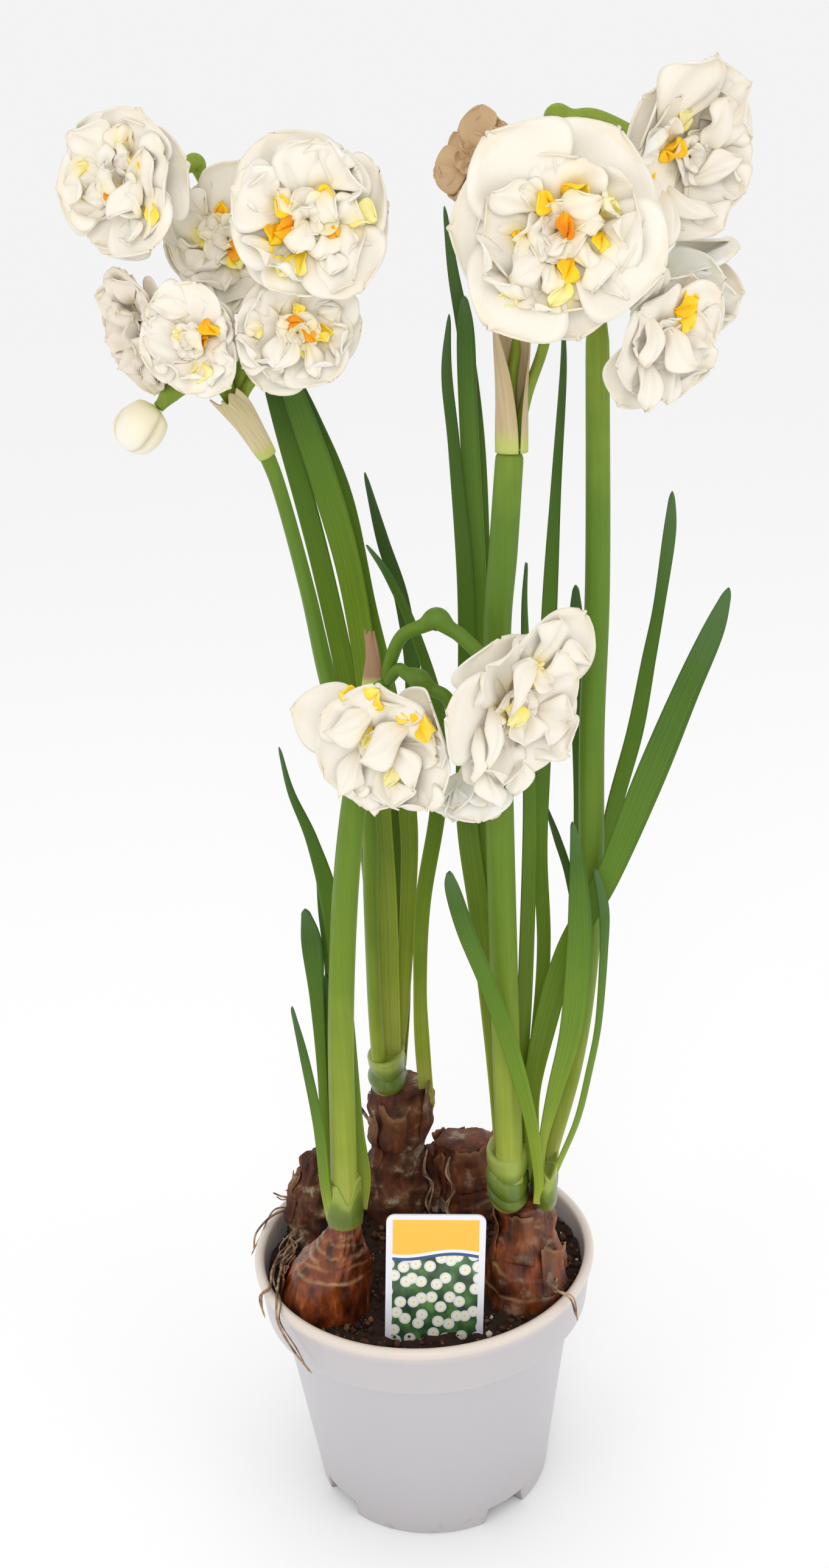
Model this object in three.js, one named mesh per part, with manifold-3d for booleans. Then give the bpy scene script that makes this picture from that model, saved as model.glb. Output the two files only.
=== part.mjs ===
// A pot of double white narcissus: five bulbs in dark soil in a moulded nursery pot, four
// flower stems with their clusters of blooms, strap leaves, a printed stick label and a few
// loose dry roots. Millimetres, +Z up, the pot's foot centre at the origin, front towards -Y.

import * as THREE from 'three';
import { mergeVertices } from 'three/addons/utils/BufferGeometryUtils.js';
import Module from 'manifold-3d';

const wasm = await Module();
wasm.setup();

// Driving dimensions
const POT_HEIGHT = 100;
const RIM_RADIUS = 65;
const COLLAR_RADIUS = 62.6;
const COLLAR_HEIGHT = 21;
const BODY_TOP_RADIUS = 56;
const FOOT_RADIUS = 45;
const WALL = 1.8;
const BASE_RAISE = 3;
const PAD_RADIUS = 12;
const SOIL_LEVEL = 90;
const CLEARANCE = 0.3;
const LEAF_EDGE = 0.8;
const LEAF_MIDDLE = 1.4;
const LEAF_STEP = 36;
const PETAL_THICKNESS = 0.8;

const POT_SIDES = 24;
const STEM_SIDES = 7;
const STALK_SIDES = 5;
const BULB_SIDES = 10;
const SHEATH_SIDES = 8;
const degrees = THREE.MathUtils.degToRad;
const vector = ([x, y, z]) => new THREE.Vector3(x, y, z);

// Colours and finishes
const finish = (color, roughness) => new THREE.MeshStandardMaterial({ color, roughness, metalness: 0 });
const FINISHES = {
  potPlastic: finish('#dcdae2', 0.3),
  soil: finish('#2b1d17', 1),
  labelPlastic: finish('#e6e4ee', 0.35),
  bulbSkin: finish('#8a4b20', 0.6),
  sheath: finish('#9dbb45', 0.45),
  stem: finish('#6d9a3c', 0.5),
  leaf: finish('#3f7a35', 0.5),
  spathe: finish('#c9b08a', 0.8),
  petal: finish('#f4f1e6', 0.65),
  crown: finish('#ffc81e', 0.6),
};

// A closed solid from points and triangles, turned right side out.
function solidOf(points, triangles) {
  const build = (list) => new wasm.Manifold(new wasm.Mesh({
    numProp: 3,
    vertProperties: new Float32Array(points.flatMap((point) => [point.x, point.y, point.z])),
    triVerts: new Uint32Array(list.flat()),
  }));
  const solid = build(triangles);
  return solid.volume() > 0 ? solid : build(triangles.map(([a, b, c]) => [a, c, b]));
}

// The same for one of three.js's own closed geometries.
function solidFromGeometry(geometry) {
  geometry.deleteAttribute('normal');
  geometry.deleteAttribute('uv');
  const merged = mergeVertices(geometry, 1e-4);
  const place = merged.getAttribute('position');
  const points = [];
  for (let i = 0; i < place.count; i += 1) {
    points.push(new THREE.Vector3().fromBufferAttribute(place, i));
  }
  const triangles = [];
  for (let i = 0; i < merged.index.count; i += 3) {
    const corners = [0, 1, 2].map((step) => merged.index.getX(i + step));
    if (new Set(corners).size === 3) triangles.push(corners);
  }
  return solidOf(points, triangles);
}

// Rings of equal count joined side by side, with each end closed as a fan from one corner.
function skin(rings, fanCorner = 0) {
  const count = rings[0].length;
  const triangles = [];
  for (let ring = 0; ring + 1 < rings.length; ring += 1) {
    for (let side = 0; side < count; side += 1) {
      const a = ring * count + side;
      const b = ring * count + ((side + 1) % count);
      triangles.push([a, b, b + count], [a, b + count, a + count]);
    }
  }
  const last = (rings.length - 1) * count;
  for (let step = 1; step + 1 < count; step += 1) {
    const near = (fanCorner + step) % count;
    const far = (fanCorner + step + 1) % count;
    triangles.push([fanCorner, far, near], [last + fanCorner, last + near, last + far]);
  }
  return solidOf(rings.flat(), triangles);
}

// A thin sheet on a grid, thickened along its normals; both faces are split alike.
function sheet(place, rows, columns, thickness) {
  const top = [];
  const bottom = [];
  for (let row = 0; row <= rows; row += 1) {
    for (let column = 0; column <= columns; column += 1) {
      const { point, normal } = place(row / rows, (2 * column) / columns - 1);
      top.push(point.clone().addScaledVector(normal, thickness / 2));
      bottom.push(point.clone().addScaledVector(normal, -thickness / 2));
    }
  }
  const width = columns + 1;
  const lower = top.length;
  const triangles = [];
  for (let row = 0; row < rows; row += 1) {
    for (let column = 0; column < columns; column += 1) {
      const a = row * width + column;
      const corners = [[a, a + 1, a + width + 1], [a, a + width + 1, a + width]];
      for (const [i, j, k] of corners) {
        triangles.push([i, j, k], [lower + i, lower + k, lower + j]);
      }
    }
  }
  const rim = [];
  for (let column = 0; column < columns; column += 1) rim.push(column);
  for (let row = 0; row < rows; row += 1) rim.push(row * width + columns);
  for (let column = columns; column > 0; column -= 1) rim.push(rows * width + column);
  for (let row = rows; row > 0; row -= 1) rim.push(row * width);
  rim.forEach((a, i) => {
    const b = rim[(i + 1) % rim.length];
    triangles.push([a, lower + a, lower + b], [a, lower + b, b]);
  });
  return solidOf([...top, ...bottom], triangles);
}

// A smooth line through rows of [x, y, z, size]; size is a width or a radius.
function route(rows) {
  const curve = (points) => new THREE.CatmullRomCurve3(points, false, 'catmullrom', 0.5);
  const middle = curve(rows.map(vector));
  const sizes = curve(rows.map((row) => new THREE.Vector3(row[3], 0, 0)));
  return {
    length: middle.getLength(),
    at: (t) => ({
      point: middle.getPoint(t),
      tangent: middle.getTangent(t),
      size: Math.max(0.3, sizes.getPoint(t).x),
    }),
  };
}

// A round closed tube along a route, its radius given along the way.
function tube(rows, sides, steps, grow = 0) {
  const line = route(rows);
  const rings = [];
  let across = new THREE.Vector3(1, 0.2, 0.1);
  for (let step = 0; step <= steps; step += 1) {
    const { point, tangent, size } = line.at(step / steps);
    across = across.clone().addScaledVector(tangent, -across.dot(tangent)).normalize();
    const upward = tangent.clone().cross(across);
    const end = step === 0 ? -grow : step === steps ? grow : 0;
    const middle = point.addScaledVector(tangent, end);
    rings.push(Array.from({ length: sides }, (_, side) => {
      const angle = (2 * Math.PI * side) / sides;
      return middle.clone()
        .addScaledVector(across, (size + grow) * Math.cos(angle))
        .addScaledVector(upward, (size + grow) * Math.sin(angle));
    }));
  }
  return skin(rings);
}

// A strap leaf: a shallow channel in section, its hollow face towards the azimuth "face".
function leafBlade({ rows, face }, grow = 0) {
  const line = route(rows);
  const steps = Math.max(4, Math.round(line.length / LEAF_STEP));
  const rings = [];
  for (let step = 0; step <= steps; step += 1) {
    const t = 1 - (1 - step / steps) ** 1.15;
    const { point, tangent, size } = line.at(t);
    const towards = degrees(face[0] + (face[1] - face[0]) * t);
    const facing = new THREE.Vector3(Math.sin(towards), -Math.cos(towards), 0);
    const across = tangent.clone().cross(facing).normalize();
    const normal = across.clone().cross(tangent).normalize();
    const half = size / 2 + grow;
    const channel = 0.09 * size;
    const edge = LEAF_EDGE / 2 + grow;
    const middle = LEAF_MIDDLE / 2 + grow;
    const section = [[-half, edge], [0, middle - channel], [half, edge],
      [half, -edge], [0, -middle - channel], [-half, -edge]];
    const end = step === 0 ? -grow : step === steps ? grow : 0;
    rings.push(section.map(([side, out]) => point.clone()
      .addScaledVector(tangent, end)
      .addScaledVector(across, side)
      .addScaledVector(normal, out)));
  }
  return skin(rings, 1);
}

// An upright rounded body through oval levels [x, y, z, radius x, radius y], ribbed by a wave.
function ovalBody(levels, sides, rib = 0, grow = 0) {
  const last = levels.length - 1;
  const rings = levels.map(([x, y, z, radiusX, radiusY], level) => {
    const lift = level === 0 ? -grow : level === last ? grow : 0;
    return Array.from({ length: sides }, (_, side) => {
      const angle = (2 * Math.PI * side) / sides;
      const wave = 1 + rib * Math.sin(5 * angle + 1.9 * level) + 0.5 * rib * Math.sin(3 * angle - level);
      return new THREE.Vector3(
        x + (radiusX * wave + grow) * Math.cos(angle),
        y + (radiusY * wave + grow) * Math.sin(angle),
        z + lift,
      );
    });
  });
  return skin(rings);
}

const join = (solids) => solids.reduce((whole, solid) => whole.add(solid));
const cut = (body, tools) => tools.reduce((rest, tool) => rest.subtract(tool), body);
const largest = (solid) => solid.decompose()
  .reduce((best, piece) => (piece.volume() > best.volume() ? piece : best));

// The pot: a turned wall with a rounded lip and a shallow collar, over a raised base plate.
const innerWall = [
  [FOOT_RADIUS - WALL, BASE_RAISE + WALL],
  [BODY_TOP_RADIUS - WALL, POT_HEIGHT - COLLAR_HEIGHT - 3.5],
  [COLLAR_RADIUS - 0.8 - WALL, POT_HEIGHT - COLLAR_HEIGHT + 0.5],
  [COLLAR_RADIUS + 0.4 - WALL, POT_HEIGHT - 4.5],
];

function makePot() {
  const profile = [
    [0, 0], [PAD_RADIUS, 0], [PAD_RADIUS + 1, BASE_RAISE], [FOOT_RADIUS - 4.5, BASE_RAISE],
    [FOOT_RADIUS - 4, 0], [FOOT_RADIUS, 0],
    [BODY_TOP_RADIUS, POT_HEIGHT - COLLAR_HEIGHT - 3.5],
    [COLLAR_RADIUS - 0.6, POT_HEIGHT - COLLAR_HEIGHT],
    [COLLAR_RADIUS + 1.2, POT_HEIGHT - 4.6], [RIM_RADIUS, POT_HEIGHT - 3.8],
    [RIM_RADIUS + 0.2, POT_HEIGHT - 1.4], [RIM_RADIUS - 1.4, POT_HEIGHT],
    [RIM_RADIUS - 3.6, POT_HEIGHT - 1],
    ...[...innerWall].reverse(), [0, BASE_RAISE + WALL],
  ];
  const turned = new THREE.LatheGeometry(profile.map(([r, z]) => new THREE.Vector2(r, z)), POT_SIDES);
  turned.rotateX(Math.PI / 2);
  const notches = [36, 126, 216, 306].map((azimuth) => {
    const notch = new THREE.BoxGeometry(18, 14, 11);
    notch.translate(0, 1 - FOOT_RADIUS, 0.5);
    notch.rotateZ(degrees(azimuth));
    return solidFromGeometry(notch);
  });
  const drains = [0, 90, 180, 270].map((azimuth) => {
    const hole = new THREE.CylinderGeometry(4, 4, 6, 8);
    hole.rotateX(Math.PI / 2);
    hole.translate(0, 27, BASE_RAISE + WALL / 2);
    hole.rotateZ(degrees(azimuth));
    return solidFromGeometry(hole);
  });
  return cut(solidFromGeometry(turned), [...notches, ...drains]);
}

// Bulbs: whole bulbs standing in the soil, their papery necks drawn up round the shoots.
const BULBS = {
  bulb_front_left: {
    levels: [[-33, -19, 70, 5, 5], [-34, -20, 78, 12.5, 12], [-37, -22, 87, 16.5, 15],
      [-36.5, -22, 97, 16.5, 15], [-34.5, -22.5, 107, 14.8, 13.8], [-31, -23.5, 116, 11.2, 10.6],
      [-28.3, -24, 127, 7.6, 7.6]],
  },
  bulb_front_right: {
    levels: [[34, -16, 70, 6, 7], [35, -17, 78, 12, 13], [38, -19, 87, 15.5, 17],
      [38, -19, 99, 15.5, 17], [38, -18, 110, 13.5, 15.5], [38.5, -15, 117, 12, 14],
      [39, -13, 128, 13, 14]],
  },
  bulb_back_middle: {
    levels: [[-9, 31, 78, 5, 5], [-9, 31, 84, 10, 10], [-9.5, 31, 95, 12.5, 12.5],
      [-9.5, 31, 114, 12.5, 12.5], [-8.5, 29, 126, 10.5, 11], [-7, 27, 134, 12.5, 12],
      [-6.5, 27, 146, 13.5, 12.5], [-6, 27, 154, 13, 12]],
  },
  bulb_back_right: {
    levels: [[19, 34, 70, 5, 5], [19, 34, 76, 11, 11], [18.8, 34, 90, 14, 13],
      [18.8, 34, 106, 14, 13], [18.8, 33, 117, 13.6, 12], [18.6, 32, 124.5, 13, 10.5]],
  },
  bulb_back_left: {
    levels: [[-38, 20, 74, 5, 5], [-40, 21, 82, 9.5, 9.5], [-42, 22, 92, 11, 11],
      [-42, 21, 108, 10.5, 10.5], [-41, 20, 120, 7.5, 7.5], [-40, 19, 130, 4, 4.5]],
  },
};
const bulbBody = (name, grow = 0) => ovalBody(BULBS[name].levels, BULB_SIDES, 0.03, grow);

// Loose dry roots, grown from two of the bulbs and lying over the rim.
const ROOT_RADIUS = 0.6;
const ROOTS = {
  bulb_front_left: [
    [[-47, -24, 96], [-52, -27, 99], [-54.5, -30, 102.2], [-56, -34, 102.6], [-57.5, -38, 97],
      [-53, -43, 88]],
  ],
  bulb_front_right: [
    [[45, -28, 96], [47, -34, 99.5], [49, -38.5, 102.4], [52.5, -42.5, 101.8], [54, -44.5, 96]],
  ],
  bulb_back_left: [
    [[-46, 24, 104], [-51, 28, 104], [-56, 31, 102.6], [-60, 33.5, 103]],
    [[-47, 20, 98], [-52, 15, 95], [-54, 8, 93.5], [-53, 0, 93]],
    [[-46, 25, 110], [-49, 30, 108], [-52, 33, 104], [-55, 34, 103.5]],
  ],
};

// Stems: rows of [x, y, z, radius] from the bulb up to the spathe.
const STEMS = {
  scape_left: [[-13.6, 23, 156.5, 2.7], [-14, 21, 190, 2.7], [-13, 18, 236, 2.8], [-12, 16, 270, 3],
    [-17, 14, 299, 3.2], [-23, 12, 322, 3.1], [-28, 10, 355, 2.6], [-34, 7.5, 387, 2.4], [-38, 5.5, 402, 2.6],
    [-42.5, 3, 412.5, 3]],
  scape_low: [[-27.8, -24, 129.5, 4.9], [-27, -24, 155, 4.8], [-25, -24.5, 204, 4.6],
    [-21, -25, 251, 4.5], [-16, -25, 287, 4.3], [-10, -26, 314, 4.1], [-4, -26, 335, 3.2]],
  scape_right: [[33, -21, 130.5, 4.8], [33, -21, 160, 4.9], [33, -21, 223, 4.9], [33.2, -21, 282, 4.8],
    [34, -21, 342, 4.5], [37, -21, 374, 4.6], [40, -21, 406, 4.4]],
  scape_tall: [[46.5, -10, 130.5, 2.9], [49, -10, 145, 3.1], [57, -10, 178, 3.7], [62, -9.5, 211, 4.2],
    [65, -8.5, 251, 4.4], [66, -8, 307, 4.3], [68.5, -7, 360, 4.1], [69.3, -6, 446, 3.7]],
};
const stemBody = (stem, grow = 0) => tube(STEMS[stem], STEM_SIDES, 9, grow);

// Leaves: rows of [x, y, z, width] from the bulb to the tip.
const LEAVES = {
  leaf_back_1: { face: [0, 10], rows: [[-12.5, 30, 157, 5.5], [-12.5, 29, 185, 7], [-12, 26, 240, 7.7],
    [-15, 24, 300, 7.3], [-23, 22, 359, 7.1], [-33, 20, 410, 6.4], [-39, 19, 432, 2]] },
  leaf_back_2: { face: [0, 20], rows: [[-8.5, 27, 157, 5.5], [-8, 25.5, 190, 6.6], [-7, 23, 241, 6.7],
    [-9, 20, 306, 7.7], [-13, 17, 355, 8.6], [-20, 15.5, 390, 9.2], [-29, 14, 422, 7], [-34, 13, 437, 2]] },
  leaf_back_3: { face: [-10, 0], rows: [[-8, 33, 157, 4.5], [-4, 32, 185, 5.4], [0, 30.5, 225, 5.8],
    [2, 29, 265, 6.7], [-3, 27.5, 310, 7.2], [-9, 26, 344, 7.5], [-15, 25, 383, 7.6],
    [-24, 24, 411, 6.4], [-31, 23, 432, 2]] },
  leaf_back_4: { face: [-20, -20], rows: [[-5.5, 36, 157, 3.8], [-3, 34.5, 185, 4.6], [-2, 33.5, 215, 5.6],
    [-1, 32.5, 264, 7], [6, 32, 309, 6.1], [4, 31, 343, 5.4], [-2, 30.5, 367, 4.6], [-7, 30, 391, 1.2]] },
  leaf_back_5: { face: [10, 40], rows: [[4, 23, 145, 5.4], [3.2, 21, 175, 5.8], [3.5, 19, 200, 5.2],
    [6, 16, 235, 6.2], [13, 13, 273, 6.4], [15, 11, 305, 5.5], [9, 9, 335, 3.9], [0, 7, 359, 3],
    [-7, 6, 371, 1]] },
  leaf_middle_1: { face: [0, 10], rows: [[31, -14, 131, 5], [29.5, -12.5, 180, 6.2], [26, -11, 237, 7.2],
    [22.5, -9.5, 278, 7.3], [24, -8, 320, 6.1], [25, -7, 359, 5.6], [23, -6, 403, 3.9],
    [21.5, -5, 427, 3.4], [23, -4, 445, 1]] },
  leaf_middle_2: { face: [0, -10], rows: [[33, -11, 131, 5], [31.5, -9.5, 180, 6.5], [29.5, -8, 225, 7.4],
    [28, -7, 277, 7.1], [29, -4.5, 350, 6.1], [28, -2.5, 410, 6], [28, -1.5, 438, 5.6], [28, -1, 450, 2]] },
  leaf_middle_3: { face: [0, 0], rows: [[34, -8.2, 131, 4.8], [33, -6.5, 180, 6], [32, -5, 225, 6.5],
    [30.5, -3, 276, 6.3], [31, 0, 349, 5.3], [31, 2, 401, 4.7], [28, 3, 436, 4.6], [25, 4, 457, 3.4],
    [23, 5, 477, 1]] },
  leaf_middle_4: { face: [0, 30], rows: [[36, -14, 131, 4], [37.6, -12.2, 165, 4.6], [41, -12, 215, 5.4],
    [44, -12, 278, 5], [44, -11, 324, 3.7], [44, -10, 351, 2.2], [45, -10, 366, 1]] },
  leaf_middle_5: { face: [0, 20], rows: [[37.5, -5.5, 131, 4.2], [40.5, -4.5, 160, 4.6], [45.5, -4, 190, 4.9],
    [48.5, -3.5, 225, 4.9], [48, -3, 261, 5.1], [50, -2, 297, 5.2], [53, -1, 348, 5.4],
    [56, 0.5, 388, 3.6], [59, 2, 423, 2.4], [59.5, 2, 440, 1]] },
  leaf_right_1: { face: [20, 10], rows: [[46, -2, 131, 3.6], [50, -0.5, 145, 4.4], [56, 1.5, 170, 5.3],
    [61.5, 3.2, 221, 6.1], [63.5, 4, 272, 6], [63, 4.5, 308, 5.5], [62.5, 5, 340, 5], [62.5, 5, 354, 2]] },
  leaf_right_2: { face: [20, 0], rows: [[45.5, -4.8, 131, 3.4], [48.5, -4.3, 145, 4.4], [54.5, -3, 168, 5.3],
    [62, -1, 202, 5.7], [69, 0, 240, 6], [74, 1, 272, 5.9], [82, 2, 302, 6], [87, 3, 328, 4.9],
    [90.5, 4, 346, 4], [94, 5, 370, 4.3], [95, 6, 384, 1.6]] },
  leaf_right_3: { face: [-10, 15], rows: [[43, -15, 131, 4.4], [41.8, -15, 150, 5.2], [42, -15, 172, 6.2],
    [47, -15.5, 198, 8.2], [56, -16, 229, 8.4], [70, -16.5, 256, 8.8], [84, -17, 291, 10.8],
    [96, -17, 321, 9.6], [105, -17, 342, 7.8], [110, -17, 356, 2.4]] },
  leaf_right_4: { face: [10, -30], rows: [[47, 1, 131, 2.6], [50.5, 3, 142, 3], [55, 5, 158, 3.1],
    [61, 6.5, 189, 3.2], [62, 7.5, 223, 3.2], [59, 8, 246, 3], [55, 8.5, 261, 2.8], [51, 9, 274, 1]] },
  leaf_right_5: { face: [30, 0], rows: [[43.2, -21, 131, 3], [45, -22, 154, 3.6], [50, -23, 177, 6.7],
    [56, -24, 202, 8.9], [59, -25, 233, 9.2], [59, -26, 256, 6.8], [58, -27, 272, 3.7],
    [57, -27, 281, 1.2]] },
  leaf_right_6: { face: [40, 30], rows: [[46.5, -17.5, 131, 2.8], [51, -18, 143, 3], [58, -19, 162, 3.1],
    [62.5, -19.5, 182, 3.1], [66, -20, 202, 3], [68, -20.5, 230, 3.6], [68, -21, 247, 4.2],
    [65, -21.5, 262, 1.6]] },
  leaf_right_7: { face: [-10, -20], rows: [[42.5, -24.5, 131, 3.2], [43, -26, 143, 3.6],
    [40.5, -28.5, 168, 4.7],
    [34, -30.5, 199, 6.1], [27, -32.5, 224, 6.1], [20, -34.5, 246, 6.5], [16, -35.5, 262, 5.4],
    [15, -36, 269, 2]] },
};
const TUFT = [
  { face: [0, 20], rows: [[-22.5, -19.5, 129, 5], [-20.5, -17.5, 142, 5], [-22, -16, 162, 4.8],
    [-24, -14.5, 211, 6.4], [-26, -13.5, 248, 6.7], [-31, -12.5, 273, 4.2], [-37, -12, 291, 2.4],
    [-40, -11, 307, 0.9]] },
  { face: [0, 0], rows: [[-28.5, -17.3, 129, 3.4], [-27.8, -15.5, 160, 3.6], [-28, -13.5, 222, 3.6],
    [-29, -12.5, 246, 3.4], [-30, -12, 258, 1.2]] },
  { face: [-10, 0], rows: [[-32, -19.5, 129, 3.6], [-33.5, -19, 150, 3.4], [-33, -18.5, 186, 3.5],
    [-33, -17.5, 215, 5.1], [-33.5, -16.5, 236, 7.2], [-35, -16, 249, 2.6]] },
  { face: [-10, 0], rows: [[-31, -18.5, 129, 3.4], [-30.5, -17, 175, 3], [-30.5, -15.5, 204, 2.8],
    [-29.5, -14.5, 223, 1.2]] },
  { face: [-30, -20], rows: [[-33, -26.5, 129, 4], [-34.3, -27.5, 145, 4.3], [-35, -28.5, 170, 4.2],
    [-38, -29.5, 198, 3.4], [-41, -30.5, 219, 1.2]] },
];

// Sheaths: oval collars [x, y, radius x, radius y] from one level to another.
const SHEATHS = {
  sheath_back: { levels: [[-10.8, 28, 154.3, 6.4, 11], [-10.8, 28, 158, 7.1, 12], [-10.8, 28, 163, 6.6, 11.4],
    [-10.8, 28, 168, 6.8, 11.4]] },
  sheath_middle: { levels: [[32.5, -14, 128.3, 7, 12.4], [32.5, -14, 133, 8.2, 13.6],
    [32.6, -14, 140, 7.3, 12.8], [32.8, -14, 150, 7, 12.4]] },
  sheath_right: { levels: [[46, -11.5, 128.3, 4.6, 14], [46, -11.5, 134, 5, 15.4],
    [46.8, -11.5, 144, 4.6, 14.4]] },
  leaves_front_left: { levels: [[-28, -23.4, 127.3, 6.2, 7], [-28, -23.3, 133, 7, 7.6],
    [-27.6, -23, 141, 6.6, 7.2]] },
};

// Blooms. "at" is the middle of the petals, "toward" the azimuth and height in degrees that the
// bloom faces, "tips" the angle round the bloom and the reach, as a share of its radius, of its six
// outer petals, and "closed" by how many degrees they stand forward. "via" is the way of its stalk
// from the stem's tip to the seed pod, "tube" the way of its neck from there, and "whorls" are the
// inner petals as [count, opening angle, length share, width share].
const DOUBLE = [[4, 60, 0.6, 0.36], [3, 34, 0.46, 0.28]];
const HALF = [[3, 56, 0.62, 0.42]];
const DOME = [[4, 40, 0.75, 0.42]];
const BLOOMS = {
  bloom_left_1: { stem: 'scape_left', at: [-71.2, -20, 488], radius: 22, toward: [-28, 6], whorls: DOUBLE,
    seed: 1, neck: 7, via: [[-49, 1.5, 426], [-46.5, 4, 450], [-47, 3, 478]], pod: [-52.5, -3.5, 493],
    crown: true, tips: [[12, 1.04], [62, 1.02], [125, 1.02], [182, 0.96], [243, 1], [305, 1.05]] },
  bloom_left_2: { stem: 'scape_left', at: [-43, -9, 471], radius: 22, toward: [-20, 2], whorls: DOUBLE,
    seed: 2, neck: 7, via: [[-46, 4, 425], [-40, 9, 448]], crown: true,
    tips: [[0, 0.9], [70, 1.04], [128, 0.86], [178, 0.93], [224, 0.96], [276, 1.06]] },
  bloom_left_3: { stem: 'scape_left', at: [-18, -36, 476], radius: 24, toward: [4, 2], whorls: DOUBLE,
    seed: 3, neck: 8, via: [[-45, 0, 425], [-33, -3, 445]], crown: true,
    tips: [[8, 0.98], [62, 0.9], [112, 1.06], [178, 0.94], [246, 1], [304, 1.05]] },
  bloom_left_4: { stem: 'scape_left', at: [-23.5, -30, 444], radius: 19.5, toward: [6, 4], whorls: DOUBLE,
    seed: 4, neck: 6, via: [[-43.5, -1, 423]], crown: true, flatten: 0.92,
    tips: [[8, 0.97], [46, 1.1], [120, 1], [182, 1], [238, 1.06], [300, 0.9]] },
  bloom_left_5: { stem: 'scape_left', at: [-55, -28, 443.5], radius: 16.5, toward: [-16, -2], whorls: HALF,
    seed: 5, neck: 5, via: [[-47.5, -2, 424]],
    tips: [[20, 0.92], [75, 1.05], [138, 1], [190, 0.93], [243, 0.96], [312, 1.1]] },
  bloom_left_6: { stem: 'scape_left', at: [-71, -9, 446], radius: 20, toward: [-54, -12], whorls: DOME,
    seed: 6, neck: 4, via: [[-49.5, 0, 425], [-55.5, -2, 440]],
    tips: [[20, 0.9], [88, 1], [145, 0.95], [205, 0.95], [268, 1.1], [325, 1.05]] },
  bloom_right_1: { stem: 'scape_right', at: [53, -46, 470], radius: 30.5, toward: [0, 2], whorls: DOUBLE,
    seed: 7, neck: 9, via: [[45.6, -20, 421], [52, -18, 439]], crown: true,
    tips: [[60, 1.02], [124, 1.02], [172, 0.98], [231, 1.04], [281, 1], [336, 1]] },
  bloom_right_2: { stem: 'scape_tall', at: [94.6, -17, 488.2], radius: 25, toward: [25, -4], whorls: DOUBLE,
    seed: 8, neck: 6, via: [[61, -3, 465], [50.5, -2, 486]], pod: [57.5, -3.4, 501.5],
    tube: [[71, -6.5, 500]], stalk: 2, crown: true,
    tips: [[44, 1.02], [86, 1.08], [132, 0.92], [176, 0.8], [250, 1.22], [316, 0.76]] },
  bloom_right_3: { stem: 'scape_tall', at: [90.3, -6, 449.8], radius: 19, toward: [76, 12], whorls: [],
    seed: 9, neck: 4, via: [[74, -3.5, 448.5]], closed: 55, pod: [80, -4.5, 449.3],
    tips: [[180, 1.42], [105, 1.42], [60, 1.4], [320, 1.3], [275, 1.34], [225, 1.34]] },
  bloom_right_4: { stem: 'scape_tall', at: [85, -28, 438.4], radius: 20, toward: [32, -14], whorls: DOUBLE,
    seed: 10, neck: 5, via: [[75, -9, 450]], pod: [82, -14, 448.5], closed: 6, crown: true,
    tips: [[5, 1.08], [42, 1.04], [98, 0.84], [190, 1.18], [234, 1.2], [288, 0.9]] },
  bloom_right_5: { stem: 'scape_right', at: [33.4, -10, 489.9], radius: 13.8, toward: [-50, 24], whorls: HALF,
    seed: 11, neck: 5, via: [[41, -18, 424], [43, -14, 440], [40, 0, 470]],
    tips: [[30, 1], [88, 1.06], [150, 0.95], [205, 1.04], [270, 1], [330, 1]] },
  bloom_low_1: { stem: 'scape_low', at: [-3.2, -50, 320.4], radius: 22.5, toward: [-20, -8], whorls: DOUBLE,
    seed: 12, neck: 4, via: [], crown: true,
    tips: [[28, 1.34], [84, 1.04], [162, 1.42], [210, 1], [268, 1], [322, 1.08]] },
  bloom_low_2: { stem: 'scape_low', at: [34.6, -50, 330.8], radius: 25, toward: [34, -6], whorls: DOUBLE,
    seed: 13, neck: 5, via: [[-0.5, -28, 341], [3.5, -30, 349]], pod: [14.5, -33, 354.6],
    tube: [[22.5, -36.5, 349], [29, -41, 342]], stalk: 2.2, crown: true,
    tips: [[20, 1.18], [52, 1.46], [102, 0.9], [170, 1.24], [256, 1.18], [312, 0.96]] },
  bloom_low_3: { stem: 'scape_low', at: [22.5, -36, 304], radius: 17, toward: [10, -66], whorls: [],
    seed: 14, neck: 3, via: [[1.5, -30.5, 338]], pod: [8, -35, 335.6], tube: [[17.5, -37.5, 328]], stalk: 2,
    closed: 44, tips: [[30, 0.95], [90, 1.05], [150, 1], [210, 0.95], [270, 1.05], [330, 1]] },
};
const BUD = { stem: 'scape_left', at: [-74.9, -20, 416.8], toward: [-66, -40], length: 16, radius: 7.6,
  via: [[-50, -3, 425], [-56, -11, 428.5]], pod: [-64.3, -15.3, 426.6] };

// A bloom's own axes: right across it, up across it, and out of its face.
function bloomFrame({ at, toward }) {
  const [azimuth, height] = toward.map(degrees);
  const out = new THREE.Vector3(
    Math.sin(azimuth) * Math.cos(height),
    -Math.cos(azimuth) * Math.cos(height),
    Math.sin(height),
  );
  const right = new THREE.Vector3(Math.cos(azimuth), Math.sin(azimuth), 0);
  const up = out.clone().cross(right);
  return { center: vector(at), right, up, out };
}

const wobble = (seed, index) => Math.sin(12.9898 * seed + 4.1414 * index);

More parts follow.
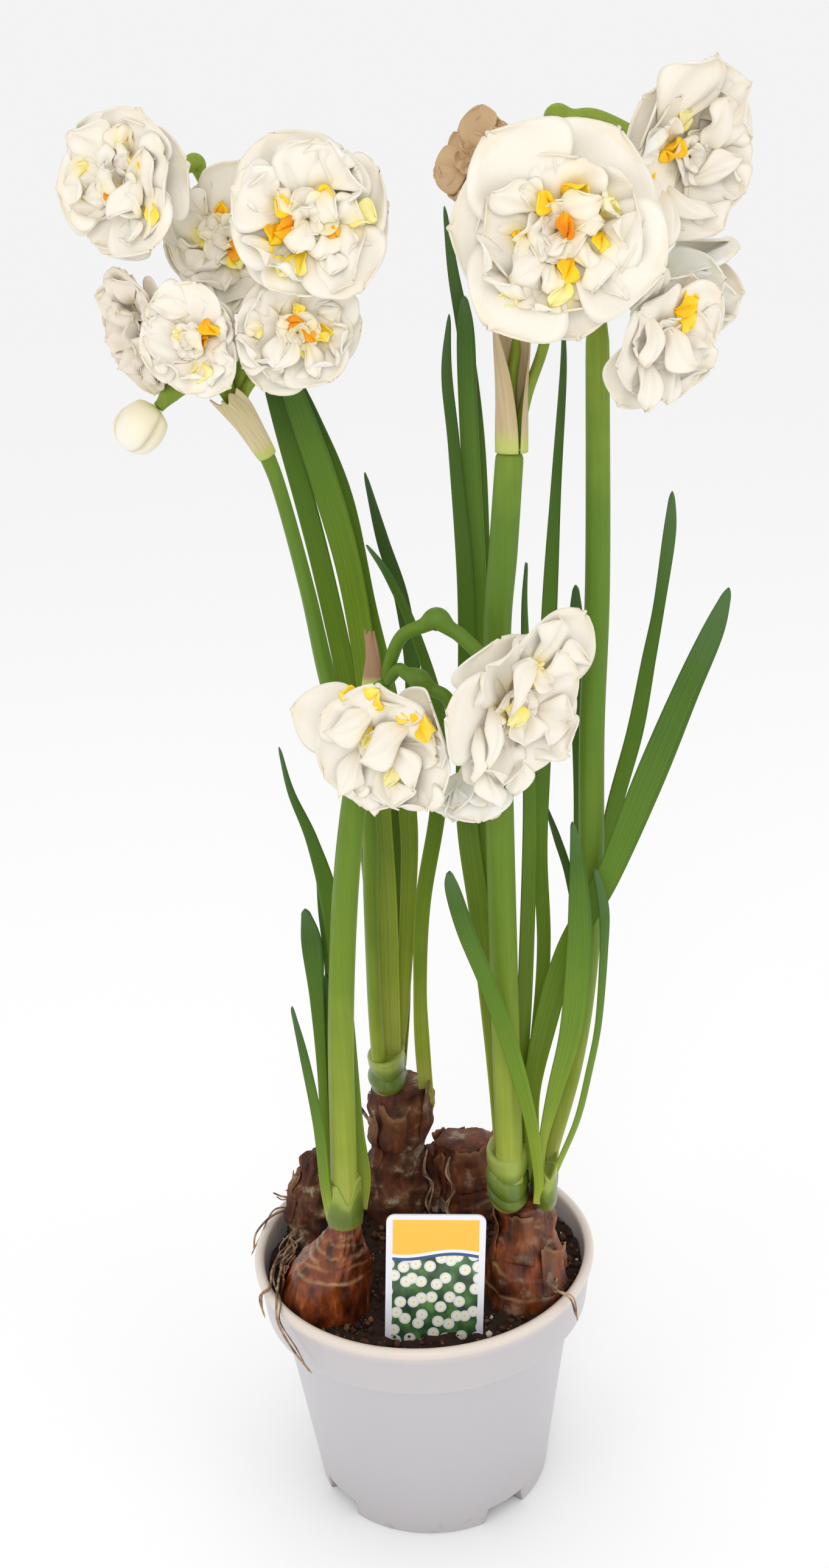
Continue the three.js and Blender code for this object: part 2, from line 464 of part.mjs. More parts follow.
// A petal: its rib leaves the axis at the angle "open" and turns back by "curl" along its
// length; the blade widens to a rounded end with a small point, and is cupped across.
function petalSolid(frame, petal, rows, columns) {
  const { turn, open, curl, root, lift, length, half, cup, flatten } = petal;
  return sheet((u, v) => {
    const angle = open - curl * u;
    const reach = root + (length / curl) * (Math.cos(angle) - Math.cos(open));
    const rise = lift + (length / curl) * (Math.sin(open) - Math.sin(angle));
    const spread = half * Math.sqrt(1 - (2 * (0.02 + 0.92 * u ** 0.9) - 1) ** 2);
    const point = (1 - Math.abs(v)) * u ** 6 * 0.06 * length;
    const dish = cup * v * v * spread;
    const radial = frame.right.clone().multiplyScalar(Math.cos(turn))
      .addScaledVector(frame.up, Math.sin(turn) * flatten);
    const sideways = frame.right.clone().multiplyScalar(-Math.sin(turn))
      .addScaledVector(frame.up, Math.cos(turn) * flatten);
    const normal = radial.clone().multiplyScalar(-Math.cos(angle))
      .addScaledVector(frame.out, Math.sin(angle));
    const place = frame.center.clone()
      .addScaledVector(radial, reach + point * Math.sin(angle))
      .addScaledVector(frame.out, rise + point * Math.cos(angle))
      .addScaledVector(sideways, spread * v)
      .addScaledVector(normal, dish);
    return { point: place, normal: normal.normalize() };
  }, rows, columns, PETAL_THICKNESS);
}

// Levels [height along the axis, radius] stacked on a bloom's axis, lobed by an alternating share.
function axisBody(frame, levels, sides, turn = 0, lobe = 0) {
  return skin(levels.map(([height, radius]) => Array.from({ length: sides }, (_, side) => {
    const angle = turn + (2 * Math.PI * side) / sides;
    const reach = radius * (1 - lobe * (side % 2));
    return frame.center.clone()
      .addScaledVector(frame.out, height)
      .addScaledVector(frame.right, reach * Math.cos(angle))
      .addScaledVector(frame.up, reach * Math.sin(angle));
  })));
}

const CORE_TOP = 0.34;
const SMALL_BLOOM = 24.5;
const BIG_BLOOM = 30;
const HALF_CLOSED = 20;
const CLOSED_CURL = 35;
const CROWN_RADIUS = 0.24;

function bloomParts(bloom) {
  const frame = bloomFrame(bloom);
  const { radius, seed, neck, whorls, crown, tips, closed = 0 } = bloom;
  const flatten = bloom.flatten ?? 1;
  const tilt = wobble(seed, 0) * 0.5;
  const rows = radius < SMALL_BLOOM || closed > HALF_CLOSED ? 2 : 3;
  const petals = [];
  tips.forEach(([angle, share], i) => {
    const inner = i % 2;
    const open = degrees((inner ? 82 : 92) - closed);
    const curl = degrees(closed > HALF_CLOSED ? CLOSED_CURL : 8 + 6 * inner);
    const root = 0.1 * radius;
    const stretch = (Math.cos(open - curl) - Math.cos(open)) / curl;
    petals.push(petalSolid(frame, {
      turn: degrees(angle),
      open,
      curl,
      root,
      lift: inner ? 1.5 : 0,
      length: closed > HALF_CLOSED ? 0.9 * share * radius : (0.97 * share * radius - root) / stretch,
      half: 0.5 * radius,
      cup: inner ? 0.1 : -0.06,
      flatten,
    }, rows, radius > BIG_BLOOM ? 2 : 1));
  });
  whorls.forEach(([count, open, lengthShare, widthShare], whorl) => {
    for (let i = 0; i < count; i += 1) {
      const shake = wobble(seed + whorl, i + 20);
      petals.push(petalSolid(frame, {
        turn: tilt + 0.5 + whorl * 0.6 + (i * 2 * Math.PI) / count + 0.16 * shake,
        open: degrees(open) + 0.12 * shake,
        curl: degrees(34),
        root: (0.3 - 0.03 * whorl) * radius,
        lift: (0.24 + 0.03 * whorl) * radius,
        length: lengthShare * radius,
        half: widthShare * radius,
        cup: 0.1,
        flatten,
      }, 2 - whorl, 1));
    }
  });
  const core = axisBody(frame, [[-neck, 1.7], [-1.5, 0.24 * radius], [CORE_TOP * radius, 0.42 * radius]],
    6, tilt + Math.PI / 6);
  let white = join([...petals, core]);
  if (!crown) return { white };
  const zone = axisBody(frame, [[(CORE_TOP * radius) + 0.01, CROWN_RADIUS * radius + CLEARANCE],
    [2 * radius, CROWN_RADIUS * radius + CLEARANCE]], 8);
  white = white.subtract(zone);
  const base = CORE_TOP * radius + CLEARANCE;
  const yellow = axisBody(frame, [[base, 0.14 * radius], [base + 0.05 * radius, 0.16 * radius],
    [base + 0.2 * radius, CROWN_RADIUS * radius], [base + 0.08 * radius, 0.05 * radius]], 10, tilt, 0.35);
  return { white, crown: yellow };
}

// A stalk from the stem's tip, its seed pod, and the neck tube from there to just behind a bloom.
const STALK_SPREAD = 1.2;
const POD_BEHIND = 13;
const POD_HALF_LENGTH = 5;
function stalkRows({ stem, via, pod, tube: neckTube = [], stalk = 1.7 }, frame, behind) {
  const end = frame.center.clone().addScaledVector(frame.out, -behind - CLEARANCE);
  const tip = vector(STEMS[stem][STEMS[stem].length - 1]);
  const way = (via.length > 0 ? vector(via[0]) : end.clone()).sub(tip).setZ(0).setLength(STALK_SPREAD);
  const start = tip.clone().add(way).setZ(tip.z - 3);
  const swelling = pod ? vector(pod) : end.clone().addScaledVector(frame.out, -POD_BEHIND);
  const before = via.length > 0 ? vector(via[via.length - 1]) : start;
  const after = neckTube.length > 0 ? vector(neckTube[0]) : end;
  const beside = (other) => swelling.clone().add(other.clone().sub(swelling).setLength(POD_HALF_LENGTH));
  return [[...start.toArray(), stalk], ...via.map((point) => [...point, stalk]),
    [...beside(before).toArray(), 1.1 * stalk], [...swelling.toArray(), 1.75 * stalk],
    [...beside(after).toArray(), 1.15 * stalk], ...neckTube.map((point) => [...point, 1.1 * stalk]),
    [...end.toArray(), 1.1 * stalk]];
}
const stalkBody = (rows, grow = 0) => tube(rows, STALK_SIDES, rows.length - 1, grow);

// Spathes: papery half tubes round the tops of three stems, from "start" to "end".
const SPATHES = {
  spathe_left: {
    start: [-38, 5.5, 402.5], end: [-49, -1.5, 426], radii: [3.9, 4.8], wrap: 110, towards: -20,
  },
  spathe_low: { start: [-6, -24.5, 331], end: [-5, -22, 349.5], radii: [4.4, 3], wrap: 100, towards: -60 },
  spathe_right: {
    start: [40.4, -21, 407], end: [41.5, -21, 446], radii: [5.1, 5.8], wrap: 120, towards: -12,
  },
};
function spatheBody({ start, end, radii, wrap, towards }) {
  const axis = vector(end).sub(vector(start));
  const along = axis.clone().normalize();
  const facing = new THREE.Vector3(Math.sin(degrees(towards)), -Math.cos(degrees(towards)), 0);
  const front = facing.addScaledVector(along, -facing.dot(along)).normalize();
  const side = along.clone().cross(front);
  return sheet((u, v) => {
    const angle = degrees(wrap) * v * (1 - 0.55 * u * u);
    const radius = radii[0] + (radii[1] - radii[0]) * u;
    const normal = front.clone().multiplyScalar(Math.cos(angle)).addScaledVector(side, Math.sin(angle));
    const point = vector(start).addScaledVector(axis, u).addScaledVector(normal, radius);
    return { point, normal };
  }, 3, 4, 0.7);
}

// The label: a thin rounded card on a pointed stake, leaning a little.
function makeLabel(grow = 0) {
  const width = 35.5 + 2 * grow;
  const height = 52;
  const corner = 3;
  const stake = 26;
  const outline = new THREE.Shape();
  outline.moveTo(-width / 2, -grow);
  outline.lineTo(-4 - grow, -6 - grow);
  outline.lineTo(0, -stake - 2 * grow);
  outline.lineTo(4 + grow, -6 - grow);
  outline.lineTo(width / 2, -grow);
  outline.lineTo(width / 2, height - corner);
  outline.absarc(width / 2 - corner, height - corner, corner, 0, Math.PI / 2);
  outline.absarc(corner - width / 2, height - corner, corner, Math.PI / 2, Math.PI);
  outline.closePath();
  const card = new THREE.ExtrudeGeometry(outline, {
    depth: 0.9 + 2 * grow, bevelEnabled: false, curveSegments: 3,
  });
  card.translate(0, 0, -0.45 - grow);
  card.rotateX(Math.PI / 2);
  card.rotateY(degrees(3.5));
  card.rotateX(degrees(-3));
  card.translate(2.2, -44, SOIL_LEVEL - 2);
  return solidFromGeometry(card);
}

// The soil: it fills the pot, is mounded under the back bulbs, and holds bulbs and label in hollows.
const MOUND = { x: -2, y: 32, height: 7, spread: 24 };
function soilHeight(x, y) {
  const mound = MOUND.height * Math.exp(-(((x - MOUND.x) ** 2 + (y - MOUND.y) ** 2) / MOUND.spread ** 2));
  return SOIL_LEVEL + mound + 0.7 * Math.sin(0.37 * x + 1) * Math.cos(0.31 * y);
}
function makeSoil(bodies) {
  const sides = 16;
  const ring = (radius, height) => Array.from({ length: sides }, (_, side) => {
    const angle = (2 * Math.PI * side) / sides;
    const [x, y] = [radius * Math.cos(angle), radius * Math.sin(angle)];
    return new THREE.Vector3(x, y, height ?? soilHeight(x, y));
  });
  const gap = 0.35;
  const facet = Math.cos(Math.PI / POT_SIDES);
  const wall = innerWall.map(([radius, z]) => [(radius - gap) * facet, z]);
  const edge = wall[3][0] - 0.6;
  const rings = [ring(wall[0][0], wall[0][1] + gap), ring(wall[1][0] - 0.3, wall[1][1]),
    ring(wall[2][0] - 0.3, wall[2][1] + 0.6), ring(edge), ring(0.72 * edge), ring(0.46 * edge),
    ring(0.2 * edge)];
  return largest(cut(skin(rings), bodies));
}

// Putting it together
const group = new THREE.Group();
function addPart(name, solid, material) {
  const { numProp, vertProperties, triVerts } = solid.getMesh();
  const geometry = new THREE.BufferGeometry();
  const positions = new Float32Array((vertProperties.length / numProp) * 3);
  for (let i = 0; i * numProp < vertProperties.length; i += 1) {
    positions.set(vertProperties.slice(i * numProp, i * numProp + 3), 3 * i);
  }
  geometry.setAttribute('position', new THREE.BufferAttribute(positions, 3));
  geometry.setIndex(new THREE.BufferAttribute(new Uint32Array(triVerts), 1));
  geometry.computeVertexNormals();
  const mesh = new THREE.Mesh(geometry, material);
  mesh.name = name;
  group.add(mesh);
}

const clusters = Object.entries(BLOOMS).map(([name, bloom]) => {
  const frame = bloomFrame(bloom);
  return { name, bloom, frame, stalk: stalkRows(bloom, frame, bloom.neck) };
});
const budFrame = bloomFrame(BUD);
const budStalk = stalkRows(BUD, budFrame, BUD.length / 2);
const allStalks = [...clusters.map(({ bloom, stalk }) => ({ stem: bloom.stem, stalk })),
  { stem: BUD.stem, stalk: budStalk }];
const grownStalks = (stem) => allStalks.filter((entry) => entry.stem === stem)
  .map(({ stalk }) => stalkBody(stalk, CLEARANCE));

addPart('pot', makePot(), FINISHES.potPlastic);

const label = makeLabel();
addPart('label', label, FINISHES.labelPlastic);

const bulbHollows = Object.keys(BULBS).map((name) => bulbBody(name, CLEARANCE));
addPart('soil', makeSoil([...bulbHollows, makeLabel(CLEARANCE)]), FINISHES.soil);

for (const name of Object.keys(BULBS)) {
  const roots = (ROOTS[name] ?? []).map(
    (root) => tube(root.map((row) => [...row, ROOT_RADIUS]), 4, root.length),
  );
  let body = join([bulbBody(name), ...roots]);
  if (name === 'bulb_back_middle') body = body.subtract(leafBlade(LEAVES.leaf_back_5, CLEARANCE));
  addPart(name, largest(body), FINISHES.bulbSkin);
}

for (const stem of Object.keys(STEMS)) {
  const stalks = allStalks.filter((entry) => entry.stem === stem).map(({ stalk }) => stalkBody(stalk));
  addPart(stem, largest(join([stemBody(stem), ...stalks])), FINISHES.stem);
}

for (const [name, leaf] of Object.entries(LEAVES)) addPart(name, leafBlade(leaf), FINISHES.leaf);

const shoots = [...Object.keys(STEMS).map((stem) => stemBody(stem, CLEARANCE)),
  ...Object.values(LEAVES).map((leaf) => leafBlade(leaf, CLEARANCE))];
for (const [name, { levels }] of Object.entries(SHEATHS)) {
  const blades = name === 'leaves_front_left' ? TUFT.map((leaf) => leafBlade(leaf)) : [];
  const body = cut(join([ovalBody(levels, SHEATH_SIDES), ...blades]), shoots);
  addPart(name, largest(body), name === 'leaves_front_left' ? FINISHES.leaf : FINISHES.sheath);
}

for (const [name, spathe] of Object.entries(SPATHES)) {
  const stem = name.replace('spathe', 'scape');
  const body = cut(spatheBody(spathe), [stemBody(stem, CLEARANCE), ...grownStalks(stem)]);
  addPart(name, largest(body), FINISHES.spathe);
}

// Neighbouring blooms press on each other along the plane half way between them.
function pressed(solid, own) {
  let rest = solid;
  for (const other of clusters) {
    const apart = own.frame.center.clone().sub(other.frame.center);
    const distance = apart.length();
    const reach = own.bloom.radius + other.bloom.radius;
    if (other.name !== own.name && distance < reach) {
      const share = (distance ** 2 + own.bloom.radius ** 2 - other.bloom.radius ** 2) / (2 * distance ** 2);
      const normal = apart.clone().normalize();
      const on = own.frame.center.clone().addScaledVector(apart, -share);
      rest = rest.trimByPlane(normal.toArray(), on.dot(normal) + CLEARANCE / 2);
    }
  }
  return rest;
}

for (const entry of clusters) {
  const { white, crown } = bloomParts(entry.bloom);
  const stalks = grownStalks(entry.bloom.stem);
  addPart(entry.name, largest(cut(pressed(white, entry), stalks)), FINISHES.petal);
  if (crown) addPart(entry.name.replace('bloom', 'crown'), largest(pressed(crown, entry)), FINISHES.crown);
}

const budLevels = [[-0.5, 0.24], [-0.36, 0.7], [-0.05, 1], [0.25, 0.84], [0.45, 0.42], [0.5, 0.15]]
  .map(([height, share]) => [height * BUD.length, share * BUD.radius]);
addPart('bud_left', axisBody(budFrame, budLevels, 8), FINISHES.petal);

export default group;
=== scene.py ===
import bmesh
import bpy
import numpy as np
from mathutils import Matrix, Vector


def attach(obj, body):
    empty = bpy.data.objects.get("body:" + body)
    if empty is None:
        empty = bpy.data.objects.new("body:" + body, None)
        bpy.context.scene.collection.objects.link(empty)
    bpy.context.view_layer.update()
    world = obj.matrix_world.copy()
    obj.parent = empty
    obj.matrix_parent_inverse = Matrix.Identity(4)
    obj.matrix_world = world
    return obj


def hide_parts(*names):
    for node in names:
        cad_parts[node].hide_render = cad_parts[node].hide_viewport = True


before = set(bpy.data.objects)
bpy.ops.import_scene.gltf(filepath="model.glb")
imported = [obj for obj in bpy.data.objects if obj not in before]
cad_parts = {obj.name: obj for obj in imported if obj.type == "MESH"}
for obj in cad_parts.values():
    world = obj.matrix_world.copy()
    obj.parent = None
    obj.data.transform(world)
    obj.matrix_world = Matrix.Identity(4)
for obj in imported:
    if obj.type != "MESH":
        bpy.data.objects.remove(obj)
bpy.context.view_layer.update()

# The camera. The photograph looks slightly down on the plant from half a metre away with a
# normal lens held upright, so the whole plant fits between the top bloom and the pot's foot.
# The axes point to the picture's right, to its top and back towards the viewer.
CAMERA_PLACE = (0.005, -0.556, 0.491)
CAMERA_RIGHT = (0.9988, -0.0166, -0.0454)
CAMERA_UP = (0.0483, 0.3433, 0.9380)
CAMERA_BACK = (0.0, -0.9391, 0.3437)
FOCAL_LENGTH = 39.13
SENSOR_LONG_SIDE = 36.0

lens = bpy.data.cameras.new("camera")
lens.sensor_width = SENSOR_LONG_SIDE
lens.lens = FOCAL_LENGTH
camera = bpy.data.objects.new("camera", lens)
camera.location = CAMERA_PLACE
camera.rotation_euler = Matrix((CAMERA_RIGHT, CAMERA_UP, CAMERA_BACK)).transposed().to_euler()
bpy.context.scene.collection.objects.link(camera)
bpy.context.scene.camera = camera
bpy.context.scene.view_settings.view_transform = "Standard"

# The nursery pot: one injection moulding of white polypropylene, 13 cm across the lip, with a
# shallow collar, a tapering body and a foot ring that is notched so that water can run out.
# Everything below is worked out in millimetres and turned to metres when a mesh is made.
MM = 0.001
POT_HEIGHT = 100
RIM_RADIUS = 65
COLLAR_RADIUS = 62.6
COLLAR_HEIGHT = 21
BODY_TOP_RADIUS = 56
FOOT_RADIUS = 45
WALL = 1.8
POT_SIDES = 240
BASE_RAISE = 3
PAD_RADIUS = 12
NOTCH_AZIMUTHS = (36, 126, 216, 306)
NOTCH_HALF_ANGLE = 11.3
NOTCH_HEIGHT = 6
DRAIN_RADIUS = 4
DRAIN_CIRCLE = 27
DRAIN_SIDES = 24
DRAIN_REACH = (-1.0, 9.0)


def linear(sheet_color):
    """An sRGB hex colour as linear light: a straight part near black and a 2.4 power above it."""
    parts = np.array([int(sheet_color[i:i + 2], 16) / 255 for i in (1, 3, 5)])
    light = np.where(parts <= 0.04045, parts / 12.92, ((parts + 0.055) / 1.055) ** 2.4)
    return (*light.tolist(), 1.0)


# The output that is used of each kind of shader node. Any other kind is an operation of a Math node.
OUTPUTS = {"Attribute": "Fac", "Bump": "Normal", "CombineXYZ": "Vector", "MapRange": "Result",
           "Mapping": "Vector", "Mix": "Result", "SeparateXYZ": "Z", "TexCoord": "Object",
           "TexNoise": "Fac", "TexVoronoi": "Distance", "UVMap": "UV", "ValToRGB": "Color"}


def add(tree, kind, *firsts, **values):
    """Adds a node and returns its output. The firsts go to its inputs in their order, and a value is
    a property, a ramp's stops or the input of that name, with spaces for underscores. An input
    takes a number, an sRGB hex colour or another node's output."""
    made = tree.nodes.new(f"ShaderNode{kind}" if kind in OUTPUTS else "ShaderNodeMath")
    if kind not in OUTPUTS:
        made.operation = kind
    if kind == "Mix":
        made.data_type = "RGBA"
    for key, value in [*enumerate(firsts), *values.items()]:
        if key == "stops":
            ramp = made.color_ramp.elements
            while len(ramp) < len(value):
                ramp.new(0.5)
            for stop, (place, color) in zip(ramp, value.items()):
                stop.position = place
                stop.color = linear(color)
            continue
        if isinstance(key, str) and hasattr(made, key):
            setattr(made, key, value)
            continue
        socket = made.inputs[key.replace("_", " ") if isinstance(key, str) else key]
        if isinstance(value, bpy.types.NodeSocket):
            tree.links.new(value, socket)
        else:
            socket.default_value = linear(value) if isinstance(value, str) else value
    return made.outputs[OUTPUTS.get(kind, 0)]


def new_material(name, **settings):
    """A material with one Principled shader, whose constants are set on its own sockets, and its
    node tree."""
    made = bpy.data.materials.new(name)
    made.use_nodes = True
    for key, value in settings.items():
        made.node_tree.nodes["Principled BSDF"].inputs[key.replace("_", " ")].default_value = value
    return made, made.node_tree


def dress(tree, **outputs):
    """Joins outputs of nodes to the shader's inputs of these names, with spaces for underscores."""
    for key, output in outputs.items():
        tree.links.new(output, tree.nodes["Principled BSDF"].inputs[key.replace("_", " ")])


def new_piece(name, points, faces, material, slot, replaced=(), marks=None):
    """A smooth mesh from points in millimetres and faces, with named numbers for each point, that
    rides on the root body."""
    mesh = bpy.data.meshes.new(name)
    mesh.from_pydata((np.reshape(points, (-1, 3)) * MM).tolist(), [], [tuple(face) for face in faces])
    for mark, values in (marks or {}).items():
        layer = mesh.attributes.new(mark, "FLOAT", "POINT")
        layer.data.foreach_set("value", np.ascontiguousarray(values, np.float32).ravel())
    mesh.polygons.foreach_set("use_smooth", np.ones(len(mesh.polygons), bool))
    mesh.materials.append(material)
    mesh.update()
    piece = bpy.data.objects.new(name, mesh)
    bpy.context.scene.collection.objects.link(piece)
    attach(piece, "root")
    if replaced:
        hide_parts(*replaced)
    return piece


def weld(piece, distance=1e-7):
    """Merges points that coincide, which closes the poles of a turned shape."""
    shape = bmesh.new()
    shape.from_mesh(piece.data)
    bmesh.ops.remove_doubles(shape, verts=shape.verts, dist=distance)
    bmesh.ops.dissolve_degenerate(shape, edges=shape.edges, dist=distance)
    shape.to_mesh(piece.data)
    shape.free()


def grid_faces(rows, columns, closed=False):
    """The quads of a grid of points; where closed is set its last column joins its first."""
    index = np.arange(rows * columns).reshape(rows, columns)
    if closed:
        index = np.concatenate([index, index[:, :1]], 1)
    corners = [index[:-1, :-1], index[:-1, 1:], index[1:, 1:], index[1:, :-1]]
    return np.stack(corners, -1).reshape(-1, 4)


def rounded(profile, radius, steps=4):
    """A profile with each corner replaced by a parabola that starts and ends at most "radius", and
    at most 0.4 of the neighbouring side, away from the corner."""
    spots = np.asarray(profile, float)
    ahead = spots[2:] - spots[1:-1]
    behind = spots[:-2] - spots[1:-1]
    reach_ahead = np.minimum(radius, 0.4 * np.linalg.norm(ahead, axis=1))
    reach_behind = np.minimum(radius, 0.4 * np.linalg.norm(behind, axis=1))
    leave = spots[1:-1] + ahead / np.linalg.norm(ahead, axis=1)[:, None] * reach_ahead[:, None]
    enter = spots[1:-1] + behind / np.linalg.norm(behind, axis=1)[:, None] * reach_behind[:, None]
    t = np.linspace(0, 1, steps)[None, :, None]
    arcs = (1 - t) ** 2 * enter[:, None] + 2 * t * (1 - t) * spots[1:-1, None] + t ** 2 * leave[:, None]
    return np.vstack([spots[:1], arcs.reshape(-1, 2), spots[-1:]])


def vectors(*parts):
    """Points from their coordinates, which may have any shapes that fit one another."""
    return np.stack(np.broadcast_arrays(*parts), -1)


def around(count):
    """Angles spread evenly round a circle."""
    return np.arange(count) * 2 * np.pi / count


def revolve(profile, columns):
    """A profile of (radius, height) turned about the Z axis: points (r cos a, r sin a, z)."""
    angle = around(columns)
    radius, height = profile[:, :1], profile[:, 1:]
    return vectors(radius * np.cos(angle), radius * np.sin(angle), height)


INNER_WALL = [
    (FOOT_RADIUS - WALL, BASE_RAISE + WALL),
    (BODY_TOP_RADIUS - WALL, POT_HEIGHT - COLLAR_HEIGHT - 3.5),
    (COLLAR_RADIUS - 0.8 - WALL, POT_HEIGHT - COLLAR_HEIGHT + 0.5),
    (COLLAR_RADIUS + 0.4 - WALL, POT_HEIGHT - 4.5),
]
pot_profile = rounded([
    (0, 0), (PAD_RADIUS, 0), (PAD_RADIUS + 1, BASE_RAISE), (FOOT_RADIUS - 4.5, BASE_RAISE),
    (FOOT_RADIUS - 4, 0), (FOOT_RADIUS, 0),
    (FOOT_RADIUS + (BODY_TOP_RADIUS - FOOT_RADIUS) * 9 / (POT_HEIGHT - COLLAR_HEIGHT - 3.5), 9),
    (BODY_TOP_RADIUS, POT_HEIGHT - COLLAR_HEIGHT - 3.5),
    (COLLAR_RADIUS - 0.6, POT_HEIGHT - COLLAR_HEIGHT),
    (COLLAR_RADIUS + 1.2, POT_HEIGHT - 4.6), (RIM_RADIUS, POT_HEIGHT - 3.8),
    (RIM_RADIUS + 0.2, POT_HEIGHT - 1.4), (RIM_RADIUS - 1.4, POT_HEIGHT),
    (RIM_RADIUS - 3.6, POT_HEIGHT - 1),
    *INNER_WALL[::-1], (0, BASE_RAISE + WALL),
], 1.2)
pot_points = revolve(pot_profile, POT_SIDES)
pot_azimuth = np.degrees(np.arctan2(pot_points[..., 0], -pot_points[..., 1])) % 360
from_notch = np.min([np.abs((pot_azimuth - a + 180) % 360 - 180) for a in NOTCH_AZIMUTHS], 0)
from_axis = np.hypot(pot_points[..., 0], pot_points[..., 1])
outside = from_axis > FOOT_RADIUS - 1.5
foot = pot_points[..., 2] < BASE_RAISE
lifted = np.where(outside, NOTCH_HEIGHT + 0.5 * pot_points[..., 2], BASE_RAISE)
ring = from_axis > FOOT_RADIUS - 5
notched = (from_notch < NOTCH_HALF_ANGLE) & foot & ring
pot_points[..., 2] = np.where(notched, lifted, pot_points[..., 2])

polypropylene, tree = new_material("moulded_polypropylene", Roughness=0.34, IOR=1.49, Coat_Weight=0.15,
                                   Coat_Roughness=0.2, Subsurface_Weight=0.08, Subsurface_Scale=0.004)
# Polypropylene from a polished mould: an even satin gloss with a faint orange peel, a little
# darker towards the foot, a painted warm glow on the lip for the light that passes through it, and
# soil dust that has dried on near the foot.
place = add(tree, "TexCoord")
height = add(tree, "SeparateXYZ", place)
level = add(tree, "MapRange", From_Min=0.0, From_Max=0.1, Value=height)
# The last stop, at the lip, is a painted warm glow where light passes through the plastic.
pot_wall_tone_and_lip_glow = add(tree, "ValToRGB", Fac=level, stops={
    0.0: "#B2AEB0", 0.35: "#B9B6BA", 0.76: "#BDBABE", 0.8: "#BFBBBE", 0.93: "#BEBABC", 0.985: "#DDD1C6"})
dust = add(tree, "TexNoise", Scale=260.0, Detail=6.0, Vector=place)
low = add(tree, "MapRange", From_Min=0.35, From_Max=0.0, Value=level)
dirty = add(tree, "MULTIPLY", dust, low)
spots = add(tree, "MapRange", From_Min=0.52, From_Max=0.68, To_Max=0.5, Value=dirty)
pot_tone = add(tree, "Mix", Factor=spots, A=pot_wall_tone_and_lip_glow, B="#8C7F78")
peel = add(tree, "TexNoise", Scale=420.0, Detail=2.0, Vector=place)
relief = add(tree, "Bump", Strength=0.08, Distance=0.0003, Height=peel)
dress(tree, Base_Color=pot_tone, Normal=relief)

pot = new_piece("nursery_pot", pot_points, grid_faces(*pot_points.shape[:2], closed=True),
                polypropylene, "pot_plastic", ["pot"])
weld(pot)
drain_angle = around(DRAIN_SIDES)
drain_ring = np.stack([DRAIN_RADIUS * np.cos(drain_angle), DRAIN_RADIUS * np.sin(drain_angle)], -1)
drain_middle = DRAIN_CIRCLE * np.array([(0, 1), (-1, 0), (0, -1), (1, 0)])
drain_flat = drain_middle[:, None, None] + drain_ring
drain_points = vectors(drain_flat[..., 0], drain_flat[..., 1], np.array(DRAIN_REACH)[:, None])
drain_faces = [face for first in 2 * DRAIN_SIDES * np.arange(4) for face in (
    *(grid_faces(2, DRAIN_SIDES, closed=True) + first).tolist(),
    (first + np.arange(DRAIN_SIDES)[::-1]).tolist(),
    (first + DRAIN_SIDES + np.arange(DRAIN_SIDES)).tolist(),
)]
drain_mesh = bpy.data.meshes.new("drains")
drain_mesh.from_pydata((drain_points.reshape(-1, 3) * MM).tolist(), [], drain_faces)
drains = bpy.data.objects.new("drains", drain_mesh)
bpy.context.scene.collection.objects.link(drains)
punch = pot.modifiers.new("drains", "BOOLEAN")
punch.object = drains
bpy.context.view_layer.update()
punched = bpy.data.meshes.new_from_object(pot.evaluated_get(bpy.context.evaluated_depsgraph_get()))
pot.modifiers.clear()
pot.data = punched
bpy.data.objects.remove(drains)

# The soil: damp peat mix, pressed down round the bulbs a little below the lip and heaped up under
# the back ones. Its crumbs are lumps of peat from a pinhead to a peppercorn, with a few white grains.
SOIL_LEVEL = 90
MOUND = {"x": -2, "y": 32, "height": 7, "spread": 24}
SOIL_RINGS = 70
SOIL_SIDES = 220
CRUMBS = 2600
WHITE_CRUMBS_FROM = 0.975


def ripples(points, wavelength, seed, waves=14):
    """Smooth random relief, mostly between -1 and 1: a mean of sine waves of about that
    wavelength, each in a seeded direction with a seeded phase."""
    draw = np.random.default_rng(seed)
    way = draw.normal(size=(waves, 3))
    length = wavelength * draw.uniform(0.7, 1.4, (waves, 1))
    way *= 2 * np.pi / (length * np.linalg.norm(way, axis=1)[:, None])
    return np.sin(points @ way.T + draw.uniform(0, 2 * np.pi, waves)).sum(-1) / np.sqrt(waves)


def soil_height(x, y):
    """The soil's level plus a bell-shaped mound under the back bulbs and a slow wave."""
    away = ((x - MOUND["x"]) ** 2 + (y - MOUND["y"]) ** 2) / MOUND["spread"] ** 2
    return SOIL_LEVEL + MOUND["height"] * np.exp(-away) + 0.7 * np.sin(0.37 * x + 1) * np.cos(0.31 * y)


soil_edge = INNER_WALL[3][0] - 1.0
soil_top = np.linspace(soil_edge, 0, SOIL_RINGS)
soil_foot = INNER_WALL[0][1] + 0.4
soil_profile = np.array([(0, soil_foot), (INNER_WALL[0][0] - 0.5, soil_foot),
                         *[(radius - 0.6, height) for radius, height in INNER_WALL[1:3]],
                         *[(radius, 2 * SOIL_LEVEL) for radius in soil_top]])
soil_points = revolve(soil_profile, SOIL_SIDES)
soil_flat = soil_points.copy()
soil_flat[..., 2] = 0
soil_rough = 0.9 * ripples(soil_flat, 9, 1) + 0.6 * ripples(soil_flat, 4, 2)
soil_rough = soil_rough + 0.4 * ripples(soil_flat, 2, 3)
soil_surface = soil_height(soil_points[..., 0], soil_points[..., 1]) + soil_rough
soil_points[..., 2] = np.where(soil_points[..., 2] > 1.5 * SOIL_LEVEL, soil_surface, soil_points[..., 2])

